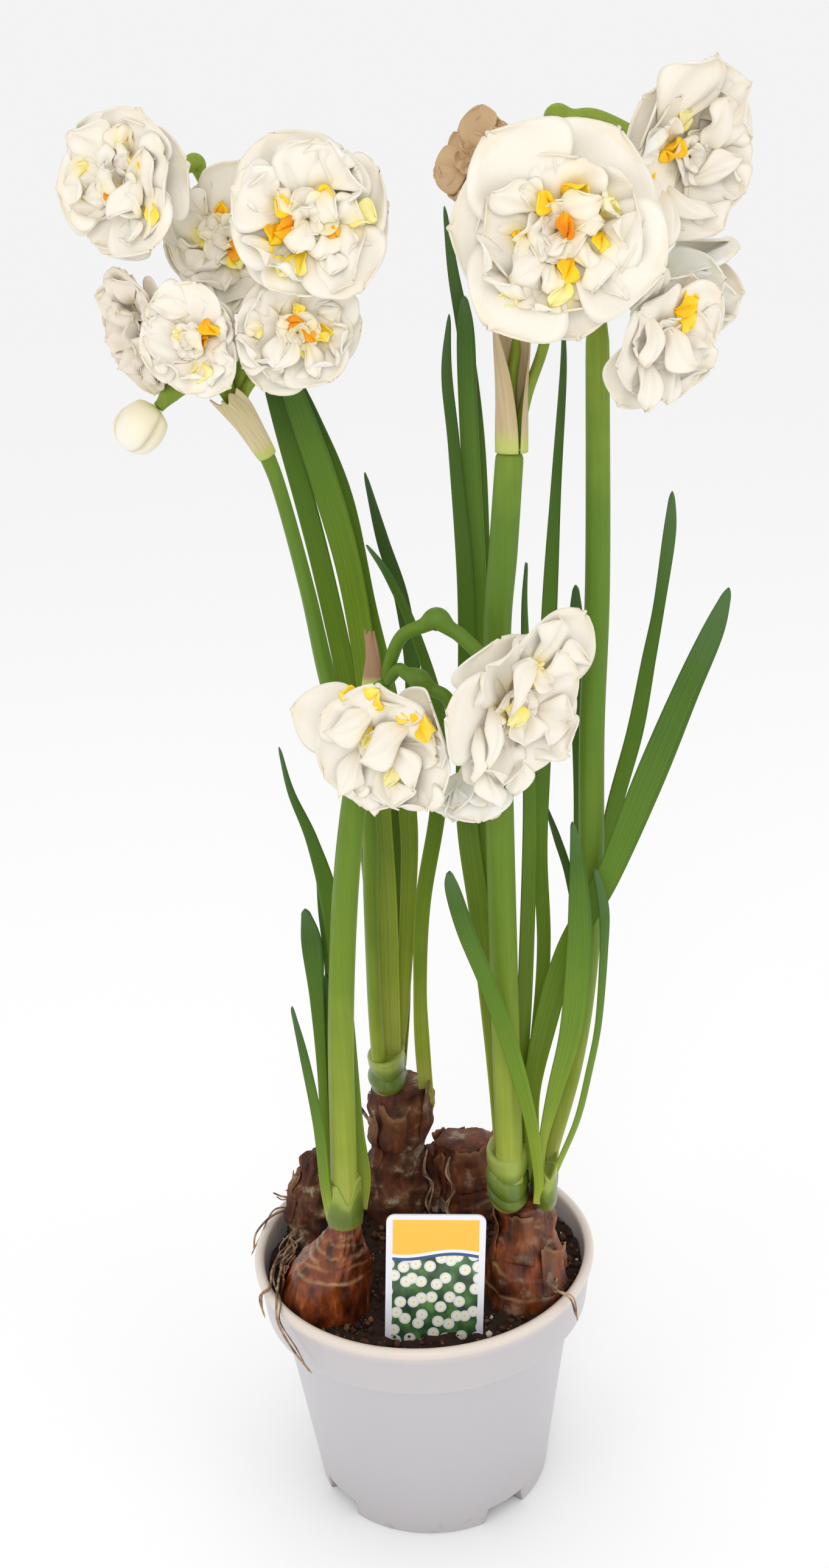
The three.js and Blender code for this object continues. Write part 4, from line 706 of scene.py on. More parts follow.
# The blooms: "at" is the middle of the petals, "toward" the azimuth and height in degrees that the
# bloom faces, "via" the way of its stalk to the seed pod, "tube" the way of its neck from there,
# "closed" by how many degrees its outer petals stand forward, and "tips" the angle round the bloom
# and the reach, as a share of the radius, of its six outer petals. "folds" are its inner petals and
# "yellow" the visible pieces of its crown: a form or a warmth, then where it grows on the bloom's
# face (right, up), its direction, length and half width, all lengths as shares of the radius.
BLOOMS = {
    "left_1": {
        "stem": "left", "at": (-71.2, -20, 488), "radius": 22, "toward": (-28, 6), "neck": 7,
        "via": [(-49, 1.5, 426), (-46.5, 4, 450), (-47, 3, 478)], "pod": (-52.5, -3.5, 493),
        "tips": [(12, 1.04), (62, 1.02), (125, 1.02), (182, 0.97), (243, 1.0), (305, 1.05)],
        "folds": [("flap", 0.44, -0.42, 98, 0.85, 0.24), ("arch", -0.32, 0.12, 75, 0.5, 0.24),
                  ("arch", -0.35, -0.02, 12, 0.55, 0.2), ("arch", 0.32, 0.12, 248, 0.8, 0.2),
                  ("arch", -0.12, -0.12, 205, 0.5, 0.17), ("arch", 0.12, 0.35, 100, 0.45, 0.2),
                  ("arch", 0.05, 0.1, 320, 0.45, 0.16), ("arch", -0.05, 0.22, 30, 0.4, 0.15),
                  ("frill", 0.1, -0.12, 285, 0.45, 0.18), ("bowl", 0.2, -0.4, 275, 0.5, 0.26),
                  ("bowl", -0.3, -0.25, 215, 0.55, 0.3), ("flap", -0.2, 0.3, 128, 0.62, 0.36)],
        "yellow": [(0.6, 0.12, 0.42, 100, 0.3, 0.06), (0.4, 0.3, 0.13, 60, 0.2, 0.12),
                   (0.3, 0.52, -0.2, 265, 0.4, 0.12), (1.0, -0.2, 0.02, 300, 0.3, 0.08),
                   (0.1, -0.55, -0.12, 200, 0.16, 0.08), (0.1, -0.52, 0.2, 150, 0.2, 0.1)],
    },
    "left_2": {
        "stem": "left", "at": (-43, -9, 471), "radius": 22, "toward": (-20, 2), "neck": 7,
        "via": [(-46, 4, 425), (-40, 9, 448)],
        "tips": [(0, 0.9), (70, 1.06), (128, 0.86), (178, 0.93), (224, 0.96), (276, 1.06)],
        "folds": [("flap", -0.25, 0.15, 165, 0.7, 0.34), ("arch", -0.3, 0.3, 100, 0.45, 0.2),
                  ("arch", 0.05, 0.02, 20, 0.35, 0.16), ("arch", -0.1, 0.12, 190, 0.35, 0.15),
                  ("frill", -0.2, -0.2, 235, 0.4, 0.2), ("frill", -0.35, -0.15, 200, 0.4, 0.18),
                  ("bowl", -0.1, -0.3, 265, 0.5, 0.3), ("flap", -0.3, -0.35, 225, 0.5, 0.3),
                  ("arch", 0.25, -0.3, 300, 0.4, 0.2)],
        "yellow": [(0.7, -0.02, 0.2, 90, 0.3, 0.1), (0.2, -0.26, 0.04, 190, 0.26, 0.1),
                   (0.9, 0.02, -0.12, 340, 0.35, 0.1), (0.2, 0.1, -0.2, 280, 0.28, 0.12)],
    },
    "left_3": {
        "stem": "left", "at": (-18, -36, 476), "radius": 24, "toward": (4, 2), "neck": 8,
        "via": [(-45, 0, 425), (-33, -3, 445)],
        "tips": [(8, 1.0), (62, 0.92), (112, 1.08), (178, 0.94), (246, 1.0), (304, 1.05)],
        "folds": [("arch", 0.08, 0.3, -38, 0.5, 0.16), ("arch", 0.28, -0.05, 60, 0.5, 0.22),
                  ("arch", -0.08, 0.1, 165, 0.42, 0.15), ("arch", 0.0, -0.02, 232, 0.48, 0.18),
                  ("arch", 0.16, -0.08, 285, 0.45, 0.2), ("bowl", 0.36, -0.16, 335, 0.35, 0.18),
                  ("flap", -0.3, 0.14, 148, 0.5, 0.26), ("bowl", -0.25, -0.25, 225, 0.55, 0.34),
                  ("bowl", 0.3, 0.25, 35, 0.6, 0.36), ("flap", 0.1, 0.3, 72, 0.62, 0.4),
                  ("arch", 0.2, -0.3, 262, 0.4, 0.18)],
        "yellow": [(0.5, 0.16, 0.2, 70, 0.22, 0.11), (0.5, -0.18, 0.12, 150, 0.26, 0.1),
                   (0.6, -0.38, -0.02, 255, 0.28, 0.1), (0.9, -0.12, -0.02, 195, 0.34, 0.09),
                   (0.3, -0.46, -0.2, 215, 0.2, 0.1), (0.9, 0.16, -0.06, 330, 0.26, 0.08),
                   (0.1, 0.48, 0.02, 340, 0.36, 0.14), (0.3, -0.14, -0.36, 275, 0.3, 0.12),
                   (0.1, -0.3, -0.42, 240, 0.25, 0.12)],
    },
    "left_4": {
        "stem": "left", "at": (-23.5, -30, 444), "radius": 19.5, "toward": (6, 4), "neck": 6,
        "via": [(-43.5, -1, 423)], "flatten": 0.92,
        "tips": [(8, 1.02), (46, 1.12), (120, 1.0), (182, 1.04), (238, 1.1), (300, 0.94)],
        "folds": [("bowl", 0.38, -0.05, 350, 0.55, 0.26), ("arch", 0.32, 0.25, 40, 0.45, 0.18),
                  ("arch", -0.25, 0.02, 240, 0.75, 0.16), ("arch", -0.05, 0.0, 262, 0.8, 0.12),
                  ("arch", 0.12, -0.1, 282, 0.75, 0.14), ("bowl", 0.3, -0.2, 300, 0.6, 0.26),
                  ("bowl", -0.45, -0.1, 218, 0.6, 0.3), ("flap", -0.3, 0.3, 120, 0.5, 0.4),
                  ("flap", 0.1, 0.35, 80, 0.45, 0.35), ("arch", -0.5, 0.15, 180, 0.4, 0.2)],
        "yellow": [(1.0, -0.3, 0.14, 5, 0.4, 0.09), (0.9, 0.02, 0.1, 340, 0.36, 0.09),
                   (0.4, 0.28, 0.08, 350, 0.3, 0.08), (0.1, -0.52, 0.1, 190, 0.24, 0.1),
                   (0.3, 0.04, 0.24, 85, 0.26, 0.08), (0.2, 0.06, -0.12, 275, 0.4, 0.06),
                   (0.3, 0.26, -0.06, 320, 0.24, 0.08)],
    },
    "left_5": {
        "stem": "left", "at": (-55, -28, 443.5), "radius": 16.5, "toward": (-16, -2), "neck": 5,
        "via": [(-47.5, -2, 424)],
        "tips": [(20, 0.95), (75, 1.08), (138, 1.04), (190, 0.96), (243, 1.0), (312, 1.14)],
        "folds": [("flap", 0.1, 0.5, 140, 0.75, 0.3), ("arch", -0.1, -0.02, 25, 0.55, 0.2),
                  ("bowl", 0.08, -0.3, 265, 0.6, 0.34), ("bowl", -0.4, 0.15, 165, 0.55, 0.3),
                  ("bowl", -0.35, -0.2, 205, 0.55, 0.3), ("arch", 0.42, 0.15, 20, 0.5, 0.2),
                  ("arch", 0.4, -0.2, 330, 0.5, 0.22), ("arch", 0.3, -0.4, 290, 0.5, 0.22)],
        "yellow": [(0.6, 0.36, 0.36, 290, 0.4, 0.12), (1.0, 0.1, -0.05, 5, 0.35, 0.1),
                   (0.05, 0.16, -0.4, 275, 0.4, 0.2), (0.2, -0.1, 0.12, 170, 0.22, 0.07)],
    },
    "left_6": {
        "stem": "left", "at": (-71, -9, 446), "radius": 20, "toward": (-54, -12), "neck": 4,
        "via": [(-49.5, 0, 425), (-55.5, -2, 440)], "shade": 0.16,
        "tips": [(20, 0.92), (88, 1.02), (145, 0.97), (205, 0.97), (268, 1.12), (325, 1.07)],
        "folds": [("arch", 0.0, 0.38, 95, 0.6, 0.32), ("arch", -0.25, 0.22, 150, 0.6, 0.32),
                  ("arch", -0.3, -0.05, 185, 0.6, 0.32), ("arch", -0.2, -0.32, 225, 0.62, 0.34),
                  ("arch", 0.08, -0.35, 280, 0.65, 0.32), ("arch", 0.28, 0.12, 20, 0.6, 0.32),
                  ("arch", 0.28, -0.2, 330, 0.65, 0.32), ("bowl", 0.0, 0.05, 90, 0.55, 0.34),
                  ("bowl", 0.05, -0.1, 300, 0.55, 0.34), ("frill", 0.0, 0.0, 30, 0.4, 0.3)],
        "yellow": [(0.2, 0.75, 0.1, 60, 0.24, 0.1)],
    },
    "right_1": {
        "stem": "right", "at": (53, -46, 470), "radius": 30.5, "toward": (0, 2), "neck": 9,
        "under": 0.74, "point": 0.8, "via": [(45.6, -20, 421), (52, -18, 439)],
        "tips": [(56, 1.08), (126, 1.1), (176, 1.03), (231, 1.1), (281, 1.03), (338, 1.07)],
        "folds": [("flap", -0.1, 0.24, 172, 0.58, 0.15), ("bowl", -0.1, -0.02, 176, 0.42, 0.19),
                  ("bowl", -0.25, -0.3, 212, 0.62, 0.3), ("arch", -0.12, -0.2, 232, 0.5, 0.19),
                  ("arch", 0.0, 0.16, 14, 0.5, 0.14), ("arch", 0.06, 0.04, 28, 0.42, 0.13),
                  ("bowl", 0.33, 0.06, 18, 0.34, 0.27), ("arch", 0.24, -0.08, 262, 0.32, 0.12),
                  ("arch", 0.28, -0.2, 292, 0.42, 0.16), ("flap", 0.42, -0.3, 304, 0.42, 0.12),
                  ("arch", -0.06, -0.26, 262, 0.36, 0.1), ("arch", 0.04, 0.0, 250, 0.3, 0.1),
                  ("flap", -0.1, 0.24, 148, 0.3, 0.12), ("bowl", -0.2, -0.46, 250, 0.34, 0.2)],
        "yellow": [(0.5, 0.06, 0.3, 30, 0.26, 0.09), (0.5, -0.02, 0.2, 150, 0.22, 0.09),
                   (1.0, 0.06, -0.08, 62, 0.26, 0.08), (0.5, -0.38, 0.04, 280, 0.14, 0.06),
                   (0.4, 0.4, -0.02, 275, 0.2, 0.07), (0.1, 0.42, 0.1, 80, 0.22, 0.1),
                   (0.5, 0.12, -0.22, 262, 0.28, 0.1), (0.1, 0.04, -0.42, 268, 0.3, 0.08),
                   (0.05, -0.42, -0.5, 240, 0.2, 0.09)],
    },
    "right_2": {
        "stem": "tall", "at": (94.6, -17, 488.2), "radius": 25, "toward": (25, -4), "neck": 6, "under": 0.8,
        "via": [(61, -3, 465), (50.5, -2, 486)], "pod": (57.5, -3.4, 501.5), "stalk": 2,
        "tube": [(71, -6.5, 500)], "shade": 0.04,
        "tips": [(44, 1.04), (86, 1.1), (132, 0.94), (176, 0.82), (250, 1.25), (316, 0.78)],
        "folds": [("flap", -0.45, 0.3, 62, 1.0, 0.36), ("flap", 0.0, 0.45, 40, 0.75, 0.3),
                  ("arch", 0.25, 0.02, 78, 0.8, 0.36), ("arch", 0.38, 0.1, 40, 0.45, 0.24),
                  ("arch", -0.05, -0.28, 22, 0.75, 0.16), ("bowl", 0.3, -0.3, 350, 0.4, 0.2),
                  ("arch", -0.35, -0.3, 300, 0.75, 0.14), ("arch", -0.45, -0.32, 280, 0.85, 0.16),
                  ("flap", -0.1, -0.45, 290, 0.6, 0.34), ("bowl", -0.4, 0.1, 130, 0.5, 0.3)],
        "yellow": [(0.6, -0.4, 0.0, 70, 0.3, 0.12), (0.6, -0.36, -0.04, 110, 0.2, 0.08),
                   (0.5, -0.6, -0.28, 100, 0.16, 0.06), (0.1, -0.22, 0.3, 60, 0.26, 0.1)],
    },
    "right_3": {
        "stem": "tall", "at": (90.3, -6, 449.8), "radius": 19, "toward": (68, 8), "neck": 4,
        "via": [(74, -3.5, 448.5)], "closed": 48, "pod": (80, -4.5, 449.3), "under": 0.6,
        "tips": [(180, 1.42), (105, 1.44), (60, 1.4), (320, 1.3), (275, 1.34), (225, 1.34)],
        "folds": [("bowl", 0.0, 0.2, 100, 0.5, 0.3), ("frill", 0.1, 0.1, 60, 0.6, 0.26),
                  ("frill", -0.1, 0.0, 180, 0.6, 0.26), ("frill", 0.05, -0.12, 300, 0.6, 0.26)],
        "yellow": [],
    },
    "right_4": {
        "stem": "tall", "at": (85, -28, 438.4), "radius": 20, "toward": (32, -14), "neck": 5,
        "via": [(75, -9, 450)], "pod": (82, -14, 448.5), "closed": 6,
        "tips": [(5, 1.08), (42, 1.04), (98, 0.88), (190, 1.2), (234, 1.24), (288, 0.94)],
        "folds": [("arch", -0.35, 0.4, 262, 0.9, 0.2), ("arch", 0.0, 0.2, 280, 0.85, 0.28),
                  ("bowl", 0.35, 0.15, 340, 0.6, 0.34), ("bowl", 0.3, -0.25, 305, 0.6, 0.34),
                  ("arch", -0.35, -0.2, 255, 0.95, 0.2), ("arch", 0.1, -0.35, 275, 0.75, 0.22),
                  ("flap", -0.2, 0.5, 150, 0.6, 0.34), ("arch", 0.45, 0.35, 20, 0.45, 0.22)],
        "yellow": [(0.5, 0.1, 0.38, 20, 0.4, 0.2), (0.4, 0.2, 0.34, 300, 0.3, 0.14)],
    },
    "right_5": {
        "stem": "right", "at": (33.4, -10, 489.9), "radius": 13.8, "toward": (-50, 24), "neck": 5,
        "via": [(41, -18, 424), (43, -14, 440), (40, 0, 470)], "shade": 0.85,
        "tips": [(30, 1.0), (88, 1.08), (150, 0.95), (205, 1.05), (270, 1.0), (330, 1.0)],
        "folds": [("frill", 0.1, 0.1, 50, 0.4, 0.2), ("frill", -0.1, 0.0, 190, 0.4, 0.2),
                  ("frill", 0.0, -0.12, 290, 0.4, 0.2)],
        "yellow": [(0.8, 0.05, 0.15, 80, 0.3, 0.1), (0.8, -0.1, -0.1, 220, 0.3, 0.1)],
    },
    "low_1": {
        "stem": "low", "at": (-3.2, -50, 320.4), "radius": 22.5, "toward": (-20, -8), "neck": 4, "via": [],
        "tips": [(28, 1.38), (84, 1.06), (162, 1.45), (210, 1.02), (268, 1.0), (322, 1.1)],
        "folds": [("arch", -0.05, 0.55, 215, 0.85, 0.22), ("arch", 0.45, 0.35, 205, 0.9, 0.24),
                  ("arch", 0.1, 0.05, 318, 0.8, 0.24), ("arch", -0.35, -0.05, 256, 0.85, 0.2),
                  ("bowl", 0.0, -0.3, 262, 0.65, 0.36), ("bowl", 0.45, -0.35, 300, 0.65, 0.36),
                  ("arch", -0.3, -0.55, 266, 0.55, 0.14), ("arch", 0.15, -0.4, 280, 0.45, 0.16),
                  ("flap", 0.55, 0.1, 10, 0.6, 0.26), ("bowl", -0.3, -0.45, 240, 0.4, 0.26)],
        "yellow": [(0.35, -0.12, 0.66, 40, 0.42, 0.14), (0.4, -0.3, 0.78, 160, 0.24, 0.1),
                   (0.4, 0.52, 0.36, 20, 0.36, 0.18), (0.2, -0.15, 0.3, 265, 0.34, 0.12),
                   (0.8, -0.12, 0.02, 330, 0.34, 0.12), (0.1, 0.12, -0.2, 280, 0.4, 0.1),
                   (0.4, 0.24, 0.58, 345, 0.26, 0.08)],
    },
    "low_2": {
        "stem": "low", "at": (34.6, -50, 330.8), "radius": 25, "toward": (34, -6), "neck": 5, "stalk": 2.2,
        "via": [(-0.5, -28, 341), (3.5, -30, 349)], "pod": (14.5, -33, 354.6),
        "tube": [(22.5, -36.5, 349), (29, -41, 342)],
        "tips": [(20, 1.2), (52, 1.48), (102, 0.92), (170, 1.27), (256, 1.22), (312, 0.99)],
        "folds": [("arch", 0.3, 0.62, 212, 0.95, 0.24), ("frill", 0.2, 0.45, 320, 0.4, 0.12),
                  ("arch", -0.3, 0.1, 250, 0.85, 0.16), ("arch", -0.5, -0.1, 262, 0.8, 0.15),
                  ("frill", 0.1, -0.05, 285, 0.5, 0.26), ("frill", 0.35, -0.1, 320, 0.5, 0.26),
                  ("bowl", -0.1, -0.35, 268, 0.7, 0.34), ("bowl", 0.35, -0.35, 300, 0.6, 0.34),
                  ("arch", 0.05, -0.65, 275, 0.6, 0.18), ("arch", -0.45, -0.7, 262, 0.6, 0.16),
                  ("flap", 0.5, 0.3, 25, 0.6, 0.36), ("flap", 0.3, 0.5, 50, 0.75, 0.3),
                  ("arch", 0.12, 0.3, 100, 0.5, 0.18)],
        "yellow": [(0.5, 0.06, 0.2, 80, 0.3, 0.12), (0.15, -0.05, 0.14, 250, 0.36, 0.14),
                   (0.2, 0.24, 0.4, 60, 0.24, 0.08)],
    },
    "low_3": {
        "stem": "low", "at": (22.5, -36, 304), "radius": 17, "toward": (10, -66), "neck": 3,
        "via": [(1.5, -30.5, 338)], "pod": (8, -35, 335.6), "tube": [(17.5, -37.5, 328)], "stalk": 2,
        "closed": 44,
        "tips": [(30, 0.97), (90, 1.07), (150, 1.02), (210, 0.97), (270, 1.07), (330, 1.02)],
        "folds": [("frill", 0.1, 0.1, 60, 0.8, 0.24), ("frill", -0.1, 0.0, 180, 0.8, 0.24),
                  ("frill", 0.05, -0.12, 300, 0.9, 0.22)],
        "yellow": [],
    },
}
BUD = {"stem": "left", "at": (-74.9, -20, 416.8), "toward": (-66, -40), "length": 16, "radius": 7.6,
       "via": [(-50, -3, 425), (-56, -11, 428.5)], "pod": (-64.3, -15.3, 426.6)}


def bloom_axes(bloom):
    """A bloom's middle and its axes: right across it, up across it, and out of its face."""
    azimuth, rise = np.radians(bloom["toward"])
    out = np.array([np.sin(azimuth) * np.cos(rise), -np.cos(azimuth) * np.cos(rise), np.sin(rise)])
    right = np.array([np.cos(azimuth), np.sin(azimuth), 0.0])
    return np.array(bloom["at"], float), right, np.cross(out, right), out


def stalk_rows(bloom, behind):
    """Rows of (x, y, z, radius) from a stem's tip by the stalk's way to its seed pod, which is
    1.75 times as thick, and by the neck's way to just behind the bloom."""
    middle, _, _, out = bloom_axes(bloom)
    stalk = bloom.get("stalk", STALK_RADIUS)
    end = middle - out * (behind + CLEARANCE)
    tip = np.array(STEMS[bloom["stem"]][-1][:3], float)
    way = (np.array(bloom["via"][0], float) if bloom["via"] else end) - tip
    way[2] = 0
    start = tip + way / np.linalg.norm(way) * STALK_SPREAD - (0, 0, 3)
    pod = np.array(bloom.get("pod", end - POD_BEHIND * out), float)
    before = np.array(bloom["via"][-1] if bloom["via"] else start, float) - pod
    after = np.array(bloom["tube"][0] if "tube" in bloom else end, float) - pod
    return [(*start, stalk), *[(*spot, stalk) for spot in bloom["via"]],
            (*(pod + before / np.linalg.norm(before) * POD_HALF_LENGTH), 1.1 * stalk), (*pod, 1.75 * stalk),
            (*(pod + after / np.linalg.norm(after) * POD_HALF_LENGTH), 1.15 * stalk),
            *[(*spot, 1.1 * stalk) for spot in bloom.get("tube", [])], (*end, 1.1 * stalk)]


waxy_stem, tree = new_material("waxy_stem", Roughness=0.42, Specular_IOR_Level=0.3, IOR=1.45,
                               Subsurface_Weight=0.15, Subsurface_Scale=0.003)
# Fresh stem: smooth green under a thin wax bloom, finely lined along its length, paler and
# yellower towards the bulb where the leaves shade it.
place = add(tree, "TexCoord")
height = add(tree, "SeparateXYZ", place)
level = add(tree, "MapRange", From_Min=0.12, From_Max=0.46, Value=height)
drawn = add(tree, "Mapping", Scale=(1.0, 1.0, 0.03), Vector=place)
lines = add(tree, "TexNoise", Scale=900.0, Detail=2.0, Vector=drawn)
cloud = add(tree, "TexNoise", Scale=60.0, Detail=2.0, Vector=place)
shifted = add(tree, "MULTIPLY_ADD", cloud, 0.16, level)
stem_green = add(tree, "ValToRGB", Fac=shifted, stops={
    0.05: "#BDB768", 0.2: "#94A136", 0.4: "#6E8820", 0.62: "#5F7F1E", 0.85: "#5F7F23", 1.0: "#879B32"})
faint = add(tree, "MapRange", From_Min=0.35, From_Max=0.65, To_Max=0.16, Value=lines)
stem_tone = add(tree, "Mix", Factor=faint, A=stem_green, B="#3F6222")
relief = add(tree, "Bump", Strength=0.12, Distance=0.0003, Height=lines)
dress(tree, Base_Color=stem_tone, Normal=relief)

for stem, rows in STEMS.items():
    shells = [tube(rows, STEM_SIDES, STEM_STEPS, STEM_RIDGE_DEPTH, STEM_RIDGES)]
    for bloom in BLOOMS.values():
        if bloom["stem"] == stem:
            shells.append(tube(stalk_rows(bloom, bloom["neck"]), STALK_SIDES, STALK_STEPS))
    if stem == BUD["stem"]:
        shells.append(tube(stalk_rows(BUD, BUD["length"] / 2), STALK_SIDES, BUD_STALK_STEPS))
    new_piece(f"flower_stem_{stem}", *joined(shells), waxy_stem, "flower_stem", [f"scape_{stem}"])

# The leaves: strap leaves two millimetres thick and up to a centimetre wide, shallowly channelled,
# with blunt tips, blue-green above and yellow-green where they leave the bulb.
LEAF_EDGE = 0.8
LEAF_MIDDLE = 1.4
# "face" is the azimuth that a leaf faces at its foot and at its tip, and "rows" are its middles and
# widths from foot to tip.
LEAVES = {
    "back_1": {"face": (0, 10), "rows": [
        (-12.5, 30, 157, 5.5), (-12.5, 29, 185, 7), (-12, 26, 240, 7.7), (-15, 24, 300, 7.3),
        (-23, 22, 359, 7.1), (-33, 20, 410, 6.4), (-39, 19, 432, 2)]},
    "back_2": {"face": (0, 20), "rows": [
        (-8.5, 27, 157, 5.5), (-8, 25.5, 190, 6.6), (-7, 23, 241, 6.7), (-9, 20, 306, 7.7),
        (-13, 17, 355, 8.6), (-20, 15.5, 390, 9.2), (-29, 14, 422, 7), (-34, 13, 437, 2)]},
    "back_3": {"face": (-10, 0), "rows": [
        (-8, 33, 157, 4.5), (-4, 32, 185, 5.4), (0, 30.5, 225, 5.8), (2, 29, 265, 6.7),
        (-3, 27.5, 310, 7.2), (-9, 26, 344, 7.5), (-15, 25, 383, 7.6), (-24, 24, 411, 6.4),
        (-31, 23, 432, 2)]},
    "back_4": {"face": (-20, -20), "rows": [
        (-5.5, 36, 157, 3.8), (-3, 34.5, 185, 4.6), (-2, 33.5, 215, 5.6), (-1, 32.5, 264, 7),
        (6, 32, 309, 6.1), (4, 31, 343, 5.4), (-2, 30.5, 367, 4.6), (-7, 30, 391, 1.2)]},
    "back_5": {"face": (10, 40), "rows": [
        (4, 23, 145, 5.4), (3.2, 21, 175, 5.8), (3.5, 19, 200, 5.2), (6, 16, 235, 6.2),
        (13, 13, 273, 6.4), (15, 11, 305, 5.5), (9, 9, 335, 3.9), (0, 7, 359, 3), (-7, 6, 371, 1)]},
    "middle_1": {"face": (0, 10), "rows": [
        (31, -14, 131, 5), (29.5, -12.5, 180, 6.2), (26, -11, 237, 7.2), (22.5, -9.5, 278, 7.3),
        (24, -8, 320, 6.1), (25, -7, 359, 5.6), (23, -6, 403, 3.9), (21.5, -5, 427, 3.4),
        (23, -4, 445, 1)]},
    "middle_2": {"face": (0, -10), "rows": [
        (33, -11, 131, 5), (31.5, -9.5, 180, 6.5), (29.5, -8, 225, 7.4), (28, -7, 277, 7.1),
        (29, -4.5, 350, 6.1), (28, -2.5, 410, 6), (28, -1.5, 438, 5.6), (28, -1, 450, 2)]},
    "middle_3": {"face": (0, 0), "rows": [
        (34, -8.2, 131, 4.8), (33, -6.5, 180, 6), (32, -5, 225, 6.5), (30.5, -3, 276, 6.3),
        (31, 0, 349, 5.3), (31, 2, 401, 4.7), (28, 3, 436, 4.6), (25, 4, 457, 3.4), (23, 5, 477, 1)]},
    "middle_4": {"face": (0, 30), "rows": [
        (36, -14, 131, 4), (37.6, -12.2, 165, 4.6), (41, -12, 215, 5.4), (44, -12, 278, 5),
        (44, -11, 324, 3.7), (44, -10, 351, 2.2), (45, -10, 366, 1)]},
    "middle_5": {"face": (0, 20), "rows": [
        (37.5, -5.5, 131, 4.2), (40.5, -4.5, 160, 4.6), (45.5, -4, 190, 4.9), (48.5, -3.5, 225, 4.9),
        (48, -3, 261, 5.1), (50, -2, 297, 5.2), (53, -1, 348, 5.4), (56, 0.5, 388, 3.6),
        (59, 2, 423, 2.4), (59.5, 2, 440, 1)]},
    "right_1": {"face": (20, 10), "rows": [
        (46, -2, 131, 3.6), (50, -0.5, 145, 4.4), (56, 1.5, 170, 5.3), (61.5, 3.2, 221, 6.1),
        (63.5, 4, 272, 6), (63, 4.5, 308, 5.5), (62.5, 5, 340, 5), (62.5, 5, 354, 2)]},
    "right_2": {"face": (20, 0), "rows": [
        (45.5, -4.8, 131, 3.4), (48.5, -4.3, 145, 4.4), (54.5, -3, 168, 5.3), (62, -1, 202, 5.7),
        (69, 0, 240, 6), (74, 1, 272, 5.9), (82, 2, 302, 6), (87, 3, 328, 4.9), (90.5, 4, 346, 4),
        (94, 5, 370, 4.3), (95, 6, 384, 1.6)]},
    "right_3": {"face": (-10, 15), "rows": [
        (43, -15, 131, 4.4), (41.8, -15, 150, 5.2), (42, -15, 172, 6.2), (47, -15.5, 198, 8.2),
        (56, -16, 229, 8.4), (70, -16.5, 256, 8.8), (84, -17, 291, 10.8), (96, -17, 321, 9.6),
        (105, -17, 342, 7.8), (110, -17, 356, 2.4)]},
    "right_4": {"face": (10, -30), "rows": [
        (47, 1, 131, 2.6), (50.5, 3, 142, 3), (55, 5, 158, 3.1), (61, 6.5, 189, 3.2), (62, 7.5, 223, 3.2),
        (59, 8, 246, 3), (55, 8.5, 261, 2.8), (51, 9, 274, 1)]},
    "right_5": {"face": (30, 0), "rows": [
        (43.2, -21, 131, 3), (45, -22, 154, 3.6), (50, -23, 177, 6.7), (56, -24, 202, 8.9),
        (59, -25, 233, 9.2), (59, -26, 256, 6.8), (58, -27, 272, 3.7), (57, -27, 281, 1.2)]},
    "right_6": {"face": (40, 30), "rows": [
        (46.5, -17.5, 131, 2.8), (51, -18, 143, 3), (58, -19, 162, 3.1), (62.5, -19.5, 182, 3.1),
        (66, -20, 202, 3), (68, -20.5, 230, 3.6), (68, -21, 247, 4.2), (65, -21.5, 262, 1.6)]},
    "right_7": {"face": (-10, -20), "rows": [
        (42.5, -24.5, 131, 3.2), (43, -26, 143, 3.6), (40.5, -28.5, 168, 4.7), (34, -30.5, 199, 6.1),
        (27, -32.5, 224, 6.1), (20, -34.5, 246, 6.5), (16, -35.5, 262, 5.4), (15, -36, 269, 2)]},
}
TUFT = [
    {"face": (0, 20), "rows": [
        (-22.5, -19.5, 129, 5), (-20.5, -17.5, 142, 5), (-22, -16, 162, 4.8), (-24, -14.5, 211, 6.4),
        (-26, -13.5, 248, 6.7), (-31, -12.5, 273, 4.2), (-37, -12, 291, 2.4), (-40, -11, 307, 0.9)]},
    {"face": (0, 0), "rows": [
        (-28.5, -17.3, 129, 3.4), (-27.8, -15.5, 160, 3.6), (-28, -13.5, 222, 3.6),
        (-29, -12.5, 246, 3.4), (-30, -12, 258, 1.2)]},
    {"face": (-10, 0), "rows": [
        (-32, -19.5, 129, 3.6), (-33.5, -19, 150, 3.4), (-33, -18.5, 186, 3.5), (-33, -17.5, 215, 5.1),
        (-33.5, -16.5, 236, 7.2), (-35, -16, 249, 2.6)]},
    {"face": (-10, 0), "rows": [
        (-31, -18.5, 129, 3.4), (-30.5, -17, 175, 3), (-30.5, -15.5, 204, 2.8),
        (-29.5, -14.5, 223, 1.2)]},
    {"face": (-30, -20), "rows": [
        (-33, -26.5, 129, 4), (-34.3, -27.5, 145, 4.3), (-35, -28.5, 170, 4.2), (-38, -29.5, 198, 3.4),
        (-41, -30.5, 219, 1.2)]},
]


